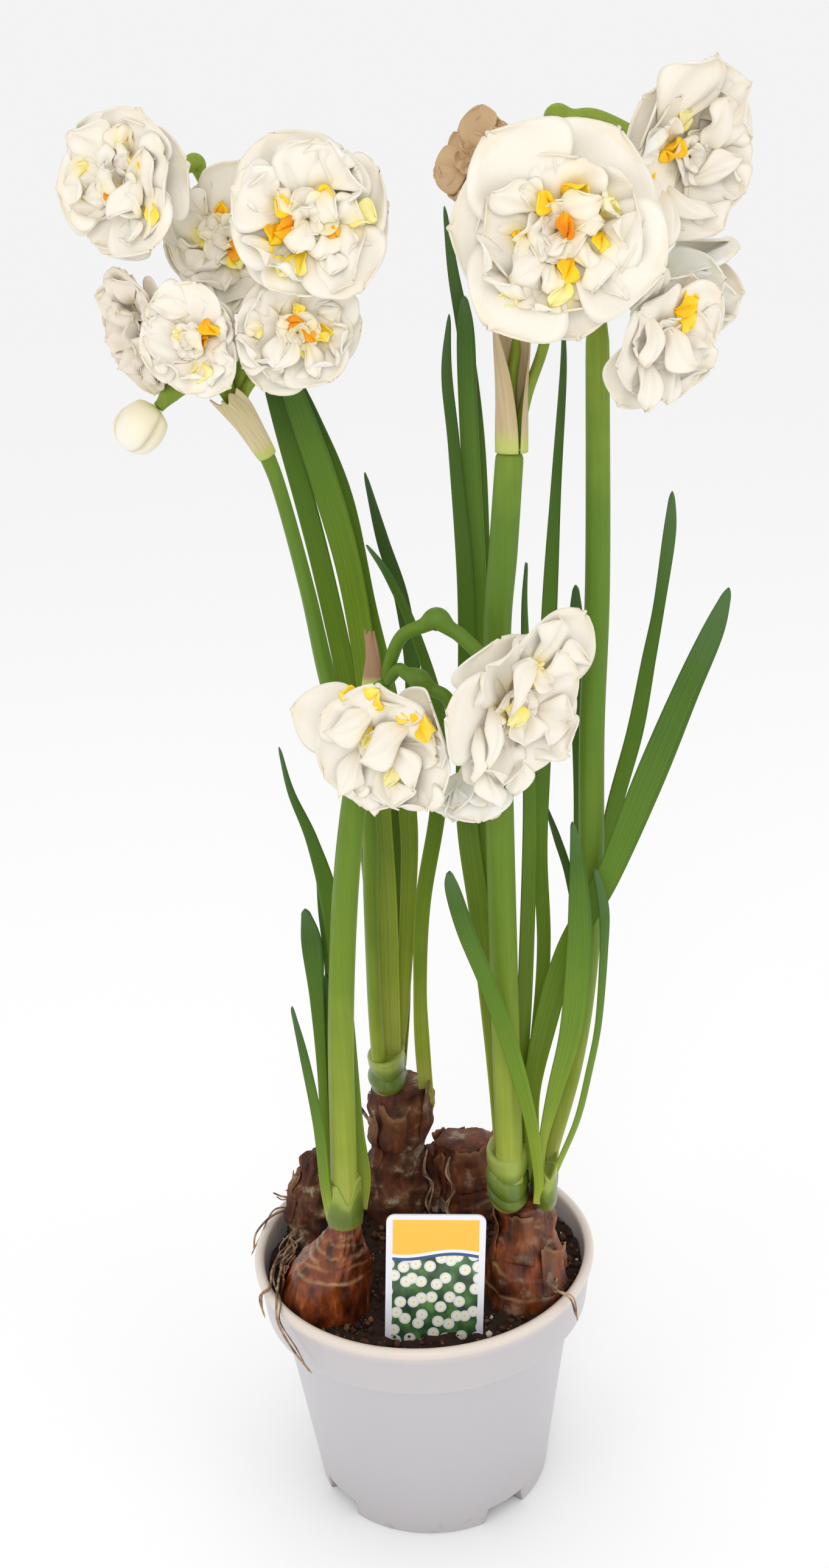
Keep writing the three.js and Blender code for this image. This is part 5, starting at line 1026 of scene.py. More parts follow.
def leaf_blade(leaf, rows=96, columns=13):
    """A closed strap blade along its smooth line. Across it, v runs from -1 to 1: the blade is half
    its width times v wide, sinks 0.09 of its width times (1 - v squared) at the middle, is thicker
    there than at its edges, and faces from one azimuth to another along its length."""
    s = np.linspace(0, 1, rows)
    t = 1 - (1 - s) ** 1.15
    spot, slope = smooth_line(leaf["rows"], t)
    along = slope[:, :3] / np.linalg.norm(slope[:, :3], axis=1, keepdims=True)
    azimuth = np.radians(leaf["face"][0] + (leaf["face"][1] - leaf["face"][0]) * t)
    facing = np.stack([np.sin(azimuth), -np.cos(azimuth), 0 * azimuth], -1)
    across = np.cross(along, facing)
    across /= np.linalg.norm(across, axis=1, keepdims=True)
    normal = np.cross(across, along)
    width = np.maximum(spot[:, 3], 0.6) * np.sqrt(np.clip(1 - ((t - 0.975) / 0.025).clip(0) ** 2, 0.02, 1))
    v = np.linspace(-1, 1, columns)
    sink = -0.09 * width[:, None] * (1 - v ** 2)
    middle = (spot[:, None, :3] + across[:, None] * (width[:, None] / 2 * v)[..., None]
              + normal[:, None] * sink[..., None])
    thick = (LEAF_EDGE * 0.55 + (LEAF_MIDDLE - LEAF_EDGE * 0.55) * (1 - v ** 2))[None, None]
    points, faces = slabs(middle[None], thick + 0 * middle[None, ..., 0])
    share = np.broadcast_to(s[:, None], (2, rows, columns))
    side = np.broadcast_to(v, (2, rows, columns))
    return points.reshape(-1, 3), faces, share.ravel(), side.ravel()


waxy_leaf, tree = new_material("waxy_leaf", Roughness=0.42, IOR=1.4, Specular_IOR_Level=0.35,
                               Subsurface_Weight=0.1, Subsurface_Scale=0.002)
# Narcissus leaf: a thin wax over fresh green gives a soft grey sheen. Veins run along it side by
# side about half a millimetre apart, drawn a little coarser here so that they show.
along, side, shade = (add(tree, "Attribute", attribute_name=name) for name in ("along", "side", "shade"))
place = add(tree, "TexCoord")
vein_place = add(tree, "CombineXYZ", X=side, Y=along)
vein_scaled = add(tree, "Mapping", Scale=(7.0, 1.4, 1.0), Vector=vein_place)
veins = add(tree, "TexNoise", Scale=1.6, Detail=4.0, Vector=vein_scaled)
cloud = add(tree, "TexNoise", Scale=45.0, Detail=3.0, Vector=place)
shifted = add(tree, "MULTIPLY_ADD", cloud, 0.14, along)
leaf_green = add(tree, "ValToRGB", Fac=shifted, stops={
    0.05: "#C2BE64", 0.14: "#A3B136", 0.3: "#7C9720", 0.55: "#5F821B", 0.82: "#476A1A", 1.0: "#4F6E3C"})
faint = add(tree, "MapRange", From_Min=0.38, From_Max=0.66, To_Max=0.42, Value=veins)
veined = add(tree, "Mix", Factor=faint, A=leaf_green, B="#2C4A1B")
leaf_tone = add(tree, "Mix", Factor=shade, A=veined, B="#1A2A10")
relief = add(tree, "Bump", Strength=0.25, Distance=0.0004, Height=veins)
dress(tree, Base_Color=leaf_tone, Normal=relief)

# How much a leaf lies in the shade of others. The lower a pale leaf's number, the further up it the
# colour of its foot reaches.
SHADED = {"back_3": 0.08, "back_4": 0.4, "back_5": 0.1, "middle_1": 0.25, "middle_2": 0.06, "middle_3": 0.2,
          "middle_4": 0.12, "right_1": 0.15, "right_4": 0.2}
PALE = {"back_1": 0.45, "back_2": 0.5, "back_3": 0.55, "back_5": 0.7, "middle_2": 0.8}
for name, leaf in LEAVES.items():
    points, faces, share, edge = leaf_blade(leaf)
    share = share * (PALE.get(name, 1.0) + (1 - PALE.get(name, 1.0)) * share ** 2)
    new_piece(f"strap_leaf_{name}", points, faces, waxy_leaf, "leaf", [f"leaf_{name}"],
              {"along": share, "side": edge, "shade": np.full(len(points), SHADED.get(name, 0.0))})

# The sheaths: short fleshy collars that clasp the shoots where they leave the bulbs. They are
# bright green with a paler swollen rim, and the one at the front left holds a tuft of young leaves.
# The middles and two radii up each sheath, then the count and thickness of its rolls, then the
# angle in radians and the depth of its notch.
SHEATHS = {
    "back": [(-10.8, 28, 154.3, 6.4, 11), (-10.8, 28, 158, 7.1, 12), (-10.8, 28, 163, 6.6, 11.4),
             (-10.8, 28, 168, 6.8, 11.4)],
    "middle": [(32.5, -14, 128.3, 6.6, 12), (32.5, -14, 133, 7.4, 13),
               (32.6, -14, 140, 7.4, 12.8), (32.8, -14, 150, 6.8, 12.2)],
    "right": [(46, -11.5, 128.3, 4.6, 14), (46, -11.5, 134, 5, 15.4), (46.8, -11.5, 144, 4.6, 14.4)],
    "front_left": [(-28, -23.6, 127.3, 6.4, 6.6), (-28, -23.6, 133, 6.5, 6.5),
                   (-27.5, -23.8, 145, 5.5, 5.6)],
}
ROLLS = {"back": (2, 1.1), "middle": (3, 1.2), "right": (1, 0.3), "front_left": (1, 0.0)}
NOTCHES = {"back": (1.2, 1.5), "middle": (1.0, 3.0), "right": (-1.5, 3.0), "front_left": (-1.35, 9.0)}


def collar(levels, rolls, notch, sides=72, rings=50):
    """A clasping collar: an oval wall up its smooth levels with a fold that winds once round it,
    thick rolls one above the other, a swollen rim with a V-shaped notch, and an inside that sinks
    1.5 mm behind the rim to a closed top."""
    share = np.linspace(0, 1, rings)[:, None]
    angle = around(sides)[None]
    x, y, z, radius_x, radius_y = np.moveaxis(smooth_line(levels, share[:, 0])[0], -1, 0)[..., None]
    fold = 0.3 * np.tanh(6 * np.sin(angle / 2 + 1.2 * share))
    fold = fold + 0.3 * np.exp(-((share - 0.95) / 0.05) ** 2)
    slanted = share + 0.07 * np.sin(angle + 1) + 0.03 * np.sin(3 * angle)
    fold = fold + rolls[1] * (np.abs(np.sin(np.pi * rolls[0] * slanted)) ** 0.6 - 0.6)
    turned = np.abs(np.angle(np.exp(1j * (angle - notch[0]))))
    dip = notch[1] * np.clip(1 - turned / 0.7, 0, 1) * share ** 2
    wall = vectors(x + (radius_x + fold) * np.cos(angle), y + (radius_y + fold) * np.sin(angle),
                   z + 0.8 * np.sin(angle + 2) * share - dip)
    middle = wall[-1].mean(0)
    inner = middle + (wall[-1:] - middle) * np.array([0.86, 0.7, 0.0])[:, None, None]
    inner[..., 2] = wall[-1][None, :, 2] - np.array([0.2, 1.2, 1.5])[:, None]
    inner[-1, :, 2] = middle[2] - 1.5
    bottom = wall[:1].mean(1, keepdims=True) + 0 * wall[:1]
    points = np.concatenate([bottom, wall, inner])
    height = np.concatenate([[0], share[:, 0], [1, 1, 1]])[:, None] + 0 * angle
    return points, grid_faces(*points.shape[:2], closed=True), height


sheath_flesh, tree = new_material("fleshy_sheath", Roughness=0.35, IOR=1.45, Subsurface_Weight=0.25,
                                  Subsurface_Scale=0.003)
# Young sheath tissue: thin, moist and full of light, so a brighter yellow-green than the leaves,
# nearly white along its rim.
rise = add(tree, "Attribute", attribute_name="rise")
place = add(tree, "TexCoord")
cloud = add(tree, "TexNoise", Scale=180.0, Detail=3.0, Vector=place)
mixed = add(tree, "MULTIPLY_ADD", cloud, 0.3, rise)
sheath_tone = add(tree, "ValToRGB", Fac=mixed, stops={
    0.1: "#85733A", 0.28: "#667424", 0.6: "#586D20", 0.85: "#6C8029", 1.0: "#94A345"})
relief = add(tree, "Bump", Strength=0.2, Distance=0.0006, Height=cloud)
dress(tree, Base_Color=sheath_tone, Normal=relief)

for name, levels in SHEATHS.items():
    points, faces, height = collar(levels, ROLLS[name], NOTCHES[name])
    replaced = [f"sheath_{name}"] if name != "front_left" else []
    weld(new_piece(f"clasping_sheath_{name}", points, faces, sheath_flesh, "sheath", replaced,
                   {"rise": height}))
tuft_blades = [leaf_blade(leaf) for leaf in TUFT]
tuft_points, tuft_faces = joined([blade[:2] for blade in tuft_blades])
new_piece("tuft_of_young_leaves", tuft_points, tuft_faces, waxy_leaf, "leaf", ["leaves_front_left"], {
    "along": np.concatenate([blade[2] for blade in tuft_blades]),
    "side": np.concatenate([blade[3] for blade in tuft_blades]),
    "shade": np.full(len(tuft_points), 0.1),
})

# The spathes: the dry papery bracts that once wrapped each cluster of buds, now split open and
# curled round the top of the stem.
SPATHES = {
    "left": {"start": (-38, 5.5, 402.5), "end": (-49, -1.5, 426), "radii": (3.0, 6.2), "wrap": 120,
             "towards": -20, "brown": 0.1},
    "low": {"start": (-6, -24.5, 331), "end": (-5, -22, 349.5), "radii": (4.4, 3), "wrap": 100,
            "towards": -60, "brown": 0.8},
    "right": {"start": (40.3, -21, 404), "end": (41.5, -21, 446), "radii": (5.0, 5.8), "wrap": 176,
              "towards": 205, "brown": 0.35},
}
SPATHE_THICKNESS = 0.45


def spathe_sheet(spathe, rows=40, columns=60):
    """A half tube from start to end whose radius and wrap change along it: at the share u and the
    angle wrap v (1 - 0.55 u squared) it lies at its radius, ribbed lengthwise, with a torn end."""
    start, end = np.array(spathe["start"], float), np.array(spathe["end"], float)
    along = (end - start) / np.linalg.norm(end - start)
    azimuth = np.radians(spathe["towards"])
    facing = np.array([np.sin(azimuth), -np.cos(azimuth), 0.0])
    front = facing - along * (facing @ along)
    front /= np.linalg.norm(front)
    side = np.cross(along, front)
    u = np.linspace(0, 1, rows)[:, None]
    v = np.linspace(-1, 1, columns)[None]
    angle = np.radians(spathe["wrap"]) * v * (1 - 0.55 * u ** 2)
    radius = spathe["radii"][0] + (spathe["radii"][1] - spathe["radii"][0]) * u
    radius = radius + 0.05 * np.sin(11 * v + 3 * u) + 0.7 * u ** 3 * np.sin(6 * v)
    radius = radius - 0.5 * np.sin(np.pi * u) ** 2
    torn = 1 - u * (0.07 + 0.07 * np.sin(3.4 * v + 0.6) * np.sin(7 * v + 1))
    normal = np.cos(angle)[..., None] * front + np.sin(angle)[..., None] * side
    sheet = start + (end - start) * (u * torn)[..., None] + normal * radius[..., None]
    return sheet, u + 0 * v, v + 0 * u


papery_spathe, tree = new_material("papery_spathe", Roughness=0.7, IOR=1.4, Subsurface_Weight=0.2,
                                   Subsurface_Scale=0.001)
# Dry bract: thin tan paper with fine lengthwise ribs, yellow-green where it is still joined to
# the stem and brown at its torn end.
along, side, brown_share = (add(tree, "Attribute", attribute_name=name)
                            for name in ("along", "side", "brown"))
rib_place = add(tree, "CombineXYZ", X=side, Y=along)
rib_scaled = add(tree, "Mapping", Scale=(5.0, 0.8, 1.0), Vector=rib_place)
ribs = add(tree, "TexNoise", Scale=2.0, Detail=5.0, Vector=rib_scaled)
paper = add(tree, "ValToRGB", Fac=ribs, stops={
    0.3: "#C6B789", 0.45: "#D0C194", 0.58: "#D8CAA2", 0.75: "#E2D8B8"})
paper_brown = add(tree, "Mix", Factor=brown_share, A=paper, B="#8E5F46")
joint = add(tree, "MapRange", From_Min=0.2, From_Max=0.07, Value=along)
spathe_tone = add(tree, "Mix", Factor=joint, A=paper_brown, B="#B9C06A")
relief = add(tree, "Bump", Strength=0.08, Distance=0.0005, Height=ribs)
dress(tree, Base_Color=spathe_tone, Normal=relief)

for name, spathe in SPATHES.items():
    sheet, share, edge = spathe_sheet(spathe)
    new_piece(f"papery_spathe_{name}", *slabs(sheet[None], SPATHE_THICKNESS), papery_spathe, "spathe",
              [f"spathe_{name}"], {"along": [share, share], "side": [edge, edge],
                                   "brown": np.full(2 * share.size, spathe["brown"])})

# The blooms: double flowers with six broad creamy white outer petals and, inside them, smaller
# folded petals and the pieces of a split yellow crown. Each is soft, thin tissue that stands out
# stiffly when it is fresh.
OUTER_THICKNESS = 0.7
INNER_THICKNESS = 0.55
YELLOW_THICKNESS = 0.5
OUTER_HALF_WIDTH = 0.6
# How many rows and columns of points a petal of each kind has.
OUTER_GRID = (26, 19)
UNDER_GRID = (18, 15)
MIDDLE_GRID = (14, 11)
CORE_GRID = (12, 9)
FOLDED_GRID = (18, 13)
YELLOW_GRID = (12, 9)
THROAT_SIDES = 20
THROAT_STEPS = 16
# The forms of the inner petals: opening angle, curl, cup, fold, ripple and lift.
FOLD_FORMS = {
    "arch": (26, -72, -0.06, -0.34, 0.24, 0.11),
    "bowl": (74, 58, 0.3, -0.1, 0.26, 0.08),
    "flap": (76, 14, 0.16, -0.1, 0.22, 0.13),
    "frill": (48, -40, 0.4, 0.3, 0.3, 0.1),
}
YELLOW_FORM = (60, -20, 0.4, 0.15, 0.34, 0.14)
# Rings of petals under and between those: count, opening angle, curl, root, lift, length, half, cup.
UNDER_RING = (6, 84, 12, 0.12, 0.06, 0.82, 0.46, 0.1)
MIDDLE_RING = (6, 46, -36, 0.05, 0.08, 0.34, 0.17, 0.3)
CORE_RING = (4, 30, -24, 0.02, 0.07, 0.24, 0.15, 0.2)


def petal_grids(axes, petals, rows, columns):
    """A batch of petals. Along each, u runs from 0 to 1: its rib starts at its base on the bloom's
    face, leaves the bloom's axis at the angle "open", turns back by "curl", and is lifted along the
    axis and swept sideways. Across it, v runs from -1 to 1: the blade is as wide as a sine that is
    broadest past its middle, with wavy edges, cupped by v squared, folded by |v|, creased, rippled
    at its edges and twisted round its rib, and it has a small point at its tip."""
    middle, right, up, out = axes
    turn, opening, curl, root, lift, length, half, cup, fold, twist, sweep, ripple, phase, flat = (
        petals[key][:, None, None] for key in (
            "turn", "open", "curl", "root", "lift", "length", "half", "cup", "fold", "twist", "sweep",
            "ripple", "phase", "flatten"))
    base_x, base_y, point = (petals[key][:, None, None] for key in ("base_x", "base_y", "point"))
    u = np.linspace(0, 1, rows)[None, :, None]
    v = np.linspace(-1, 1, columns)[None, None, :]
    angle = opening - curl * u
    reach = root + length / curl * (np.cos(angle) - np.cos(opening))
    rise = lift + length / curl * (np.sin(opening) - np.sin(angle))
    spread = half * np.sin(np.pi * (0.1 + 0.89 * u) ** 1.5) ** point
    tip = 0.035 * length * np.exp(-(v / 0.3) ** 2) * u ** 10
    bump = (cup * v ** 2 + fold * np.abs(v)) * spread
    bump = bump + ripple * half * np.sin(3.1 * np.pi * u + phase + 1.4 * v) * v ** 2 * u
    bump = bump + 0.35 * ripple * half * np.sin(2 * np.pi * u + 2.6 * v + phase) * u
    bump = bump + 0.5 * ripple * half * np.sin(7 * v + 2 * u + 2 * phase) * np.sin(np.pi * u)
    bump = bump - 0.05 * half * np.exp(-(v / 0.16) ** 2) * (1 - u)
    sideways = spread * v * (1 + 1.6 * ripple * np.sin(5 * u + phase + 1.5 * v))
    turned, heading = twist * u, turn + sweep * u ** 1.5
    sideways, bump = (sideways * np.cos(turned) - bump * np.sin(turned),
                      sideways * np.sin(turned) + bump * np.cos(turned))
    far = reach + tip * np.sin(angle) - bump * np.cos(angle)
    high = rise + tip * np.cos(angle) + bump * np.sin(angle)
    plane_x = base_x + far * np.cos(heading) - sideways * np.sin(heading)
    plane_y = (base_y + far * np.sin(heading) + sideways * np.cos(heading)) * flat
    points = middle + plane_x[..., None] * right + plane_y[..., None] * up + high[..., None] * out
    return points, np.broadcast_to(u, plane_x.shape), np.broadcast_to(v, plane_x.shape)


def petals_like(values, count, flatten):
    """The numbers of a batch of petals, those that aren't given being nought. A petal ends in a
    blunt curve where its point is 0.5, and comes to a point where it is 1."""
    names = ("root", "cup", "fold", "twist", "sweep", "ripple", "phase", "base_x", "base_y")
    return {**{name: np.zeros(count) for name in names}, "flatten": np.full(count, flatten),
            "point": np.full(count, 0.5), **values}


def outer_petals(bloom, draw):
    """The six outer petals, three behind and three before, each long enough to reach its tip."""
    radius, closed = bloom["radius"], bloom.get("closed", 0)
    turn, share = np.array(bloom["tips"], float).T
    front = np.arange(6) % 2
    opening = np.radians(np.where(front, 83, 92) - closed + draw.uniform(-2, 2, 6))
    curl = np.radians(np.where(closed > 20, 35, np.where(front, 14, 8)) + draw.uniform(-2, 2, 6))
    root = 0.1 * radius
    length = (0.97 * share * radius - root) * curl / (np.cos(opening - curl) - np.cos(opening))
    length = np.where(closed > 20, 0.9 * share * radius, length)
    return petals_like({
        "turn": np.radians(turn), "open": opening, "curl": curl, "root": np.full(6, root),
        "lift": np.where(front, 1.6, 0.0), "length": length,
        "half": (OUTER_HALF_WIDTH * radius * (1 + 0.15 * (closed > 40))
                 * (1 + 0.05 * draw.uniform(-1, 1, 6))),
        "cup": np.where(front, 0.08, -0.04), "twist": 0.08 * draw.uniform(-1, 1, 6),
        "ripple": np.full(6, 0.07), "phase": draw.uniform(0, 6, 6),
        "point": np.full(6, bloom.get("point", 0.62)),
    }, 6, bloom.get("flatten", 1.0))


def folded_petals(rows, forms, bloom, draw):
    """Petals at given places on a bloom's face, each in its form, a little shaken by seeded draws."""
    radius, count = bloom["radius"], len(rows)
    x, y, turn, length, half = np.array([row[1:] for row in rows], float).T
    opening, curl, cup, fold, ripple, lift = np.array(forms, float).T
    shake = draw.uniform(-1, 1, (6, count))
    return petals_like({
        "turn": np.radians(turn + 6 * shake[0]), "open": np.radians(opening + 6 * shake[1]),
        "curl": np.radians(curl * (1 + 0.25 * shake[2])), "lift": radius * lift * (1 + 0.25 * shake[3]),
        "length": length * radius, "half": 1.08 * half * radius, "cup": cup * (1 + 0.6 * shake[4]),
        "fold": fold, "twist": 0.6 * shake[5], "sweep": 0.5 * shake[3], "ripple": ripple,
        "phase": 3 * shake[0], "base_x": x * radius, "base_y": y * radius, "point": 0.75 + 0.25 * shake[1],
    }, count, bloom.get("flatten", 1.0))


def ring_of_petals(ring, bloom, draw, first):
    """One ring of petals, evenly spread and then shaken by seeded draws."""
    count, opening, curl, root, lift, length, half, cup = ring
    radius, closed = bloom["radius"], bloom.get("closed", 0)
    shake = draw.uniform(-1, 1, (6, count))
    return petals_like({
        "turn": first + np.arange(count) * 2 * np.pi / count + 0.2 * shake[0],
        "open": np.radians(opening - closed * (opening > 60) + 9 * shake[1]),
        "curl": np.radians(curl * (1 + 0.2 * shake[2])),
        "root": np.full(count, root * radius), "lift": lift * radius * (1 + 0.15 * shake[3]),
        "length": bloom.get("under", 1.0) * length * radius * (1 + 0.1 * shake[4]),
        "half": half * radius * (1 + 0.12 * shake[5]), "cup": cup * (1 + 0.4 * shake[1]),
        "twist": 0.35 * shake[3], "sweep": 0.35 * shake[4], "ripple": 0.16 + 0.05 * shake[2],
        "phase": 3 * shake[0],
    }, count, bloom.get("flatten", 1.0))


def pressed(points, name):
    """Points beyond the plane on which a bloom meets a neighbour are moved back to it, softly: a
    distance s short of the margin m becomes m exp(s / m - 1)."""
    own = BLOOMS[name]
    margin = 1.6
    for other_name, other in BLOOMS.items():
        apart = np.array(own["at"], float) - np.array(other["at"], float)
        distance = np.linalg.norm(apart)
        if other_name == name or distance >= own["radius"] + other["radius"]:
            continue
        share = (distance ** 2 + own["radius"] ** 2 - other["radius"] ** 2) / (2 * distance ** 2)
        normal = apart / distance
        beyond = (points - (np.array(own["at"], float) - apart * share)) @ normal - 0.15
        soft = margin * np.exp(np.minimum(beyond / margin - 1, 0))
        points = points + np.where(beyond < margin, soft - beyond, 0)[..., None] * normal
    return points


def yellow_glow(grids, bloom, axes):
    """How yellow a petal is: a bell that falls off with the distance from the nearest piece of the
    crown, seen on the bloom's face, and fades where the petal stands high over it."""
    middle, right, up, out = axes
    face = np.stack([(grids - middle) @ right, (grids - middle) @ up], -1) / bloom["radius"]
    if not bloom["yellow"]:
        return np.zeros(face.shape[:-1])
    rows = np.array(bloom["yellow"], float)
    heading = np.radians(rows[:, 3:4])
    ahead = 0.5 * rows[:, 4:5] * np.hstack([np.cos(heading), np.sin(heading)])
    away = np.linalg.norm(face[..., None, :] - (rows[:, 1:3] + ahead), axis=-1)
    low = np.clip(1.2 - ((grids - middle) @ out) / (0.4 * bloom["radius"]), 0, 1)
    return 0.75 * low * np.exp(-(away / (0.06 + 0.3 * rows[:, 4])) ** 2).max(-1)


petal_tissue, tree = new_material("soft_petal_tissue", Roughness=0.6, IOR=1.4, Subsurface_Weight=0.12,
                                  Subsurface_Scale=0.0008, Subsurface_Radius=(1.0, 0.9, 0.8),
                                  Sheen_Weight=0.1, Sheen_Roughness=0.5)
# Narcissus petal: matt, faintly sparkling creamy white, and it lets light through. Its base is
# painted warm beige, partly its own tint and partly painted shade deep in the bloom; its back faces
# and its turned edges get painted warm beige shade; and fine veins fan out from its base.
along, side, back, shade, glow = (add(tree, "Attribute", attribute_name=name)
                                  for name in ("along", "side", "back", "shade", "glow"))
place = add(tree, "TexCoord")
vein_place = add(tree, "CombineXYZ", X=side, Y=along)
vein_scaled = add(tree, "Mapping", Scale=(6.0, 0.8, 1.0), Vector=vein_place)
veins = add(tree, "TexNoise", Scale=2.2, Detail=4.0, Vector=vein_scaled)
cloud = add(tree, "TexNoise", Scale=140.0, Detail=3.0, Vector=place)
blade = add(tree, "MULTIPLY_ADD", cloud, 0.2, along)
# The low stops are the petal's base: its own faint tint and painted shade in the hollow of the bloom.
petal_cream_and_base_shade = add(tree, "ValToRGB", Fac=blade, stops={
    0.08: "#E4D8B6", 0.28: "#EFE9D8", 0.5: "#F2F0E8", 0.95: "#F2F1EC", 1.0: "#EEE9DA"})
# The back faces are painted a warm beige shade.
behind = add(tree, "MULTIPLY", back, 0.4)
with_back_shade = add(tree, "Mix", Factor=behind, A=petal_cream_and_base_shade, B="#EBDCC2")
faint = add(tree, "MapRange", From_Min=0.4, From_Max=0.75, To_Max=0.14, Value=veins)
veined = add(tree, "Mix", Factor=faint, A=with_back_shade, B="#E4DAC6")
# The petal's outline is painted a beige shade where it turns away.
near_edge = add(tree, "MAXIMUM", add(tree, "ABSOLUTE", side), along)
edge_shade_share = add(tree, "MapRange", From_Min=0.93, From_Max=1.0, To_Max=0.14, Value=near_edge)
with_edge_shade = add(tree, "Mix", Factor=edge_shade_share, A=veined, B="#DECDA6")
glowing = add(tree, "Mix", Factor=glow, A=with_edge_shade, B="#FBE05A")
petal_tone = add(tree, "Mix", Factor=shade, A=glowing, B="#BE9660")
relief = add(tree, "Bump", Strength=0.3, Distance=0.0004, Height=veins)
dress(tree, Base_Color=petal_tone, Normal=relief)

segment_tissue, tree = new_material("yellow_segment_tissue", Roughness=0.55, IOR=1.4,
                                    Subsurface_Weight=0.2, Subsurface_Scale=0.001,
                                    Subsurface_Radius=(1.0, 0.8, 0.3))
# Pieces of the split crown: thick frilled tissue, deep orange at its base and clear or pale yellow
# at its edge.
along, warmth, shade = (add(tree, "Attribute", attribute_name=name)
                        for name in ("along", "warmth", "shade"))
place = add(tree, "TexCoord")
cloud = add(tree, "TexNoise", Scale=260.0, Detail=3.0, Vector=place)
paler = add(tree, "MULTIPLY_ADD", along, -0.35, warmth)
depth = add(tree, "MULTIPLY_ADD", cloud, 0.25, paler)
yellow = add(tree, "ValToRGB", Fac=depth, stops={
    0.02: "#F6ECA4", 0.18: "#FBE25A", 0.4: "#FFD01A", 0.7: "#FBB400", 0.95: "#E88A00"})
segment_tone = add(tree, "Mix", Factor=shade, A=yellow, B="#B8873E")
relief = add(tree, "Bump", Strength=0.3, Distance=0.0005, Height=cloud)
dress(tree, Base_Color=segment_tone, Normal=relief)

CROWNED = ["left_1", "left_2", "left_3", "left_4", "right_1", "right_2", "right_4", "low_1", "low_2"]
for order, (name, bloom) in enumerate(BLOOMS.items()):
    draw = np.random.default_rng(100 + order)
    axes = bloom_axes(bloom)
    rings = [
        (outer_petals(bloom, draw), OUTER_GRID),
        (ring_of_petals(UNDER_RING, bloom, draw, 0.2), UNDER_GRID),
        (ring_of_petals(MIDDLE_RING, bloom, draw, 0.9), MIDDLE_GRID),
        (ring_of_petals(CORE_RING, bloom, np.random.default_rng(300 + order), 0.5), CORE_GRID),
        (folded_petals(bloom["folds"], [FOLD_FORMS[row[0]] for row in bloom["folds"]], bloom, draw),
         FOLDED_GRID),
    ]
    shells, marks = [], {"along": [], "side": [], "back": [], "glow": []}
    for depth, (numbers, grid) in enumerate(rings):
        grids, share, edge = petal_grids(axes, numbers, *grid)
        grids = pressed(grids, name)
        thickness = INNER_THICKNESS if depth > 0 else OUTER_THICKNESS
        shells.append(slabs(grids, thickness))
        stain = yellow_glow(grids, bloom, axes) * (depth > 0)
        # The back face of each petal takes the painted warm shade.
        back = [0 * share, 0 * share + 1]
        for key, faces_of_plate in (("along", [share, share]), ("side", [edge, edge]),
                                    ("glow", [stain, stain]), ("back", back)):
            marks[key].append(np.stack(faces_of_plate, 1).ravel())
    # The throat is the short tube that joins the petals to the neck of the stalk.
    throat = tube([(*(axes[0] - behind * axes[3]), wide) for behind, wide in (
        (bloom["neck"] + 0.8, 1.7), (0.55 * bloom["neck"], 2.2), (1.2, 0.15 * bloom["radius"]),
        (-0.8, 0.22 * bloom["radius"]))], THROAT_SIDES, THROAT_STEPS)
    shells.append(throat)
    # The throat carries the painted beige shade of a petal's base and back.
    for key, value in (("along", 0.12), ("side", 0.0), ("back", 0.6), ("glow", 0.25)):
        marks[key].append(np.full(throat[0].size // 3, value))
    points, faces = joined(shells)
    marks = {key: np.concatenate(values) for key, values in marks.items()}
    marks["shade"] = np.full(len(points), bloom.get("shade", 0.0))
    new_piece(f"double_bloom_{name}", points, faces, petal_tissue, "petal", [f"bloom_{name}"], marks)

    if bloom["yellow"]:
        numbers = folded_petals(bloom["yellow"], [YELLOW_FORM] * len(bloom["yellow"]), bloom, draw)
        grids, share, edge = petal_grids(axes, numbers, *YELLOW_GRID)
        points, faces = slabs(pressed(grids, name), YELLOW_THICKNESS)
        warmth = np.array([row[0] for row in bloom["yellow"]])[:, None, None] + 0 * share
        new_piece(f"yellow_segments_{name}", points, faces, segment_tissue, "crown",
                  [f"crown_{name}"] if name in CROWNED else [],
                  {"along": np.stack([share, share], 1), "warmth": np.stack([warmth, warmth], 1),
                   "shade": np.full(points.size // 3, bloom.get("shade", 0.0) * 0.8)})

# The bud: one bloom of the left cluster that is still closed, its petals wrapped round each other,
# green at its base and cream at its tip.
bud_levels = [(-0.5, 0.3), (-0.38, 0.78), (-0.05, 1), (0.25, 0.92), (0.43, 0.6), (0.5, 0.2)]
middle, right, up, out = bloom_axes(BUD)
share = np.linspace(0, 1, 40)
bud_rows = smooth_line(bud_levels, share)[0]
angle = around(48)[None]
wrap = 1 + 0.07 * np.tanh(4 * np.sin(2 * angle + 1.5 * share[:, None])) * np.sin(np.pi * share[:, None])
# The seams are grooves where the petals overlap; the same mark paints beige shade into them.
seam = np.exp(-(np.sin(1.5 * angle + 1.2 * share[:, None]) / 0.2) ** 2)
wrap = wrap + (0.1 * np.abs(np.sin(2 * angle + 0.6)) - 0.14 * seam) * np.sin(np.pi * share[:, None]) ** 0.5
reach = np.maximum(bud_rows[:, 1:], 0.02) * BUD["radius"] * wrap
bud_points = (middle + (bud_rows[:, :1] * BUD["length"])[..., None] * out
              + (reach * np.cos(angle))[..., None] * right + (reach * np.sin(angle))[..., None] * up)
bud_points = capped(bud_points)
bud_skin, tree = new_material("bud_skin", Roughness=0.5, IOR=1.4, Subsurface_Weight=0.2,
                              Subsurface_Scale=0.002)
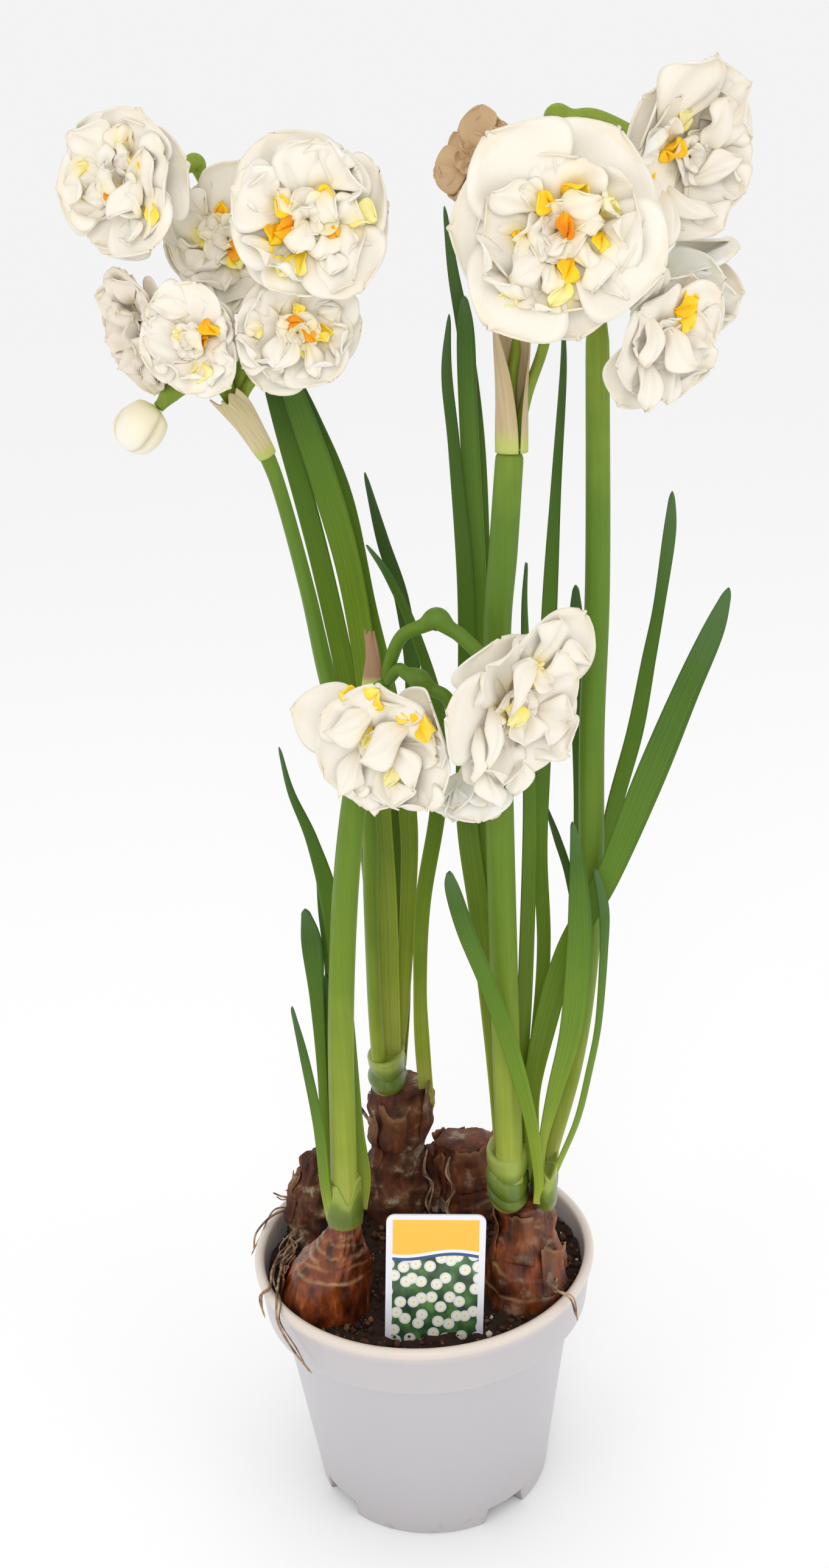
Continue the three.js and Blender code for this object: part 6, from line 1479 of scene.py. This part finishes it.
# Closed petals: yellow-green at the base, turning cream towards the tip, lined lengthwise with
# painted beige shade in the seams where they overlap.
rise = add(tree, "Attribute", attribute_name="rise")
place = add(tree, "TexCoord")
cloud = add(tree, "TexNoise", Scale=200.0, Detail=3.0, Vector=place)
shifted = add(tree, "MULTIPLY_ADD", cloud, 0.25, rise)
bud_tone = add(tree, "ValToRGB", Fac=shifted, stops={
    0.12: "#8DA63C", 0.22: "#D6D79A", 0.38: "#EDE3C4", 1.0: "#F1ECE0"})
seam_shade_share = add(tree, "MULTIPLY", add(tree, "Attribute", attribute_name="seam"), 0.5)
with_seam_shade = add(tree, "Mix", Factor=seam_shade_share, A=bud_tone, B="#C3AE7C")
dress(tree, Base_Color=with_seam_shade)
weld(new_piece("closed_bud_left", bud_points, grid_faces(*bud_points.shape[:2], closed=True),
               bud_skin, "petal", ["bud_left"],
               {"rise": np.concatenate([[0], share, [1]])[:, None] + 0 * angle,
                "seam": np.pad(seam, ((1, 1), (0, 0)), "edge")}))

# The floor and the light: a plain pale floor that runs back out of sight, a large soft light in
# front above the camera, weaker ones at both sides and an even white surround.
floor_mesh = bpy.data.meshes.new("floor")
floor_mesh.from_pydata([(-6, -6, 0), (6, -6, 0), (6, 6, 0), (-6, 6, 0)], [], [(0, 1, 2, 3)])
floor = bpy.data.objects.new("floor", floor_mesh)
bpy.context.scene.collection.objects.link(floor)
floor_paint, tree = new_material("floor_paint", Base_Color=linear("#FFFFFF"), Roughness=0.9)
floor_mesh.materials.append(floor_paint)

# The place, the target and the width of each light in metres, and its power in watts.
LIGHTS = {
    "front": ((-0.1, -1.35, 0.95), (0.0, 0.0, 0.3), 0.6, 3.2),
    "left": ((-1.1, -0.9, 0.6), (0.0, 0.0, 0.3), 0.9, 1.6),
    "right": ((1.2, -0.8, 0.6), (0.0, 0.0, 0.3), 0.9, 2.0),
    "top": ((0.0, 0.2, 1.7), (0.0, 0.0, 0.2), 1.0, 1.2),
}
for name, (place, target, size, power) in LIGHTS.items():
    lamp = bpy.data.lights.new(f"{name}_light", "AREA")
    lamp.shape = "DISK"
    lamp.size = size
    lamp.energy = power
    light = bpy.data.objects.new(f"{name}_light", lamp)
    light.location = place
    light.rotation_euler = (light.location - Vector(target)).to_track_quat("Z", "Y").to_euler()
    bpy.context.scene.collection.objects.link(light)
surround = bpy.data.worlds.new("surround")
surround.use_nodes = True
surround.node_tree.nodes["Background"].inputs["Color"].default_value = (1.0, 1.0, 1.0, 1.0)
surround.node_tree.nodes["Background"].inputs["Strength"].default_value = 0.9
bpy.context.scene.world = surround
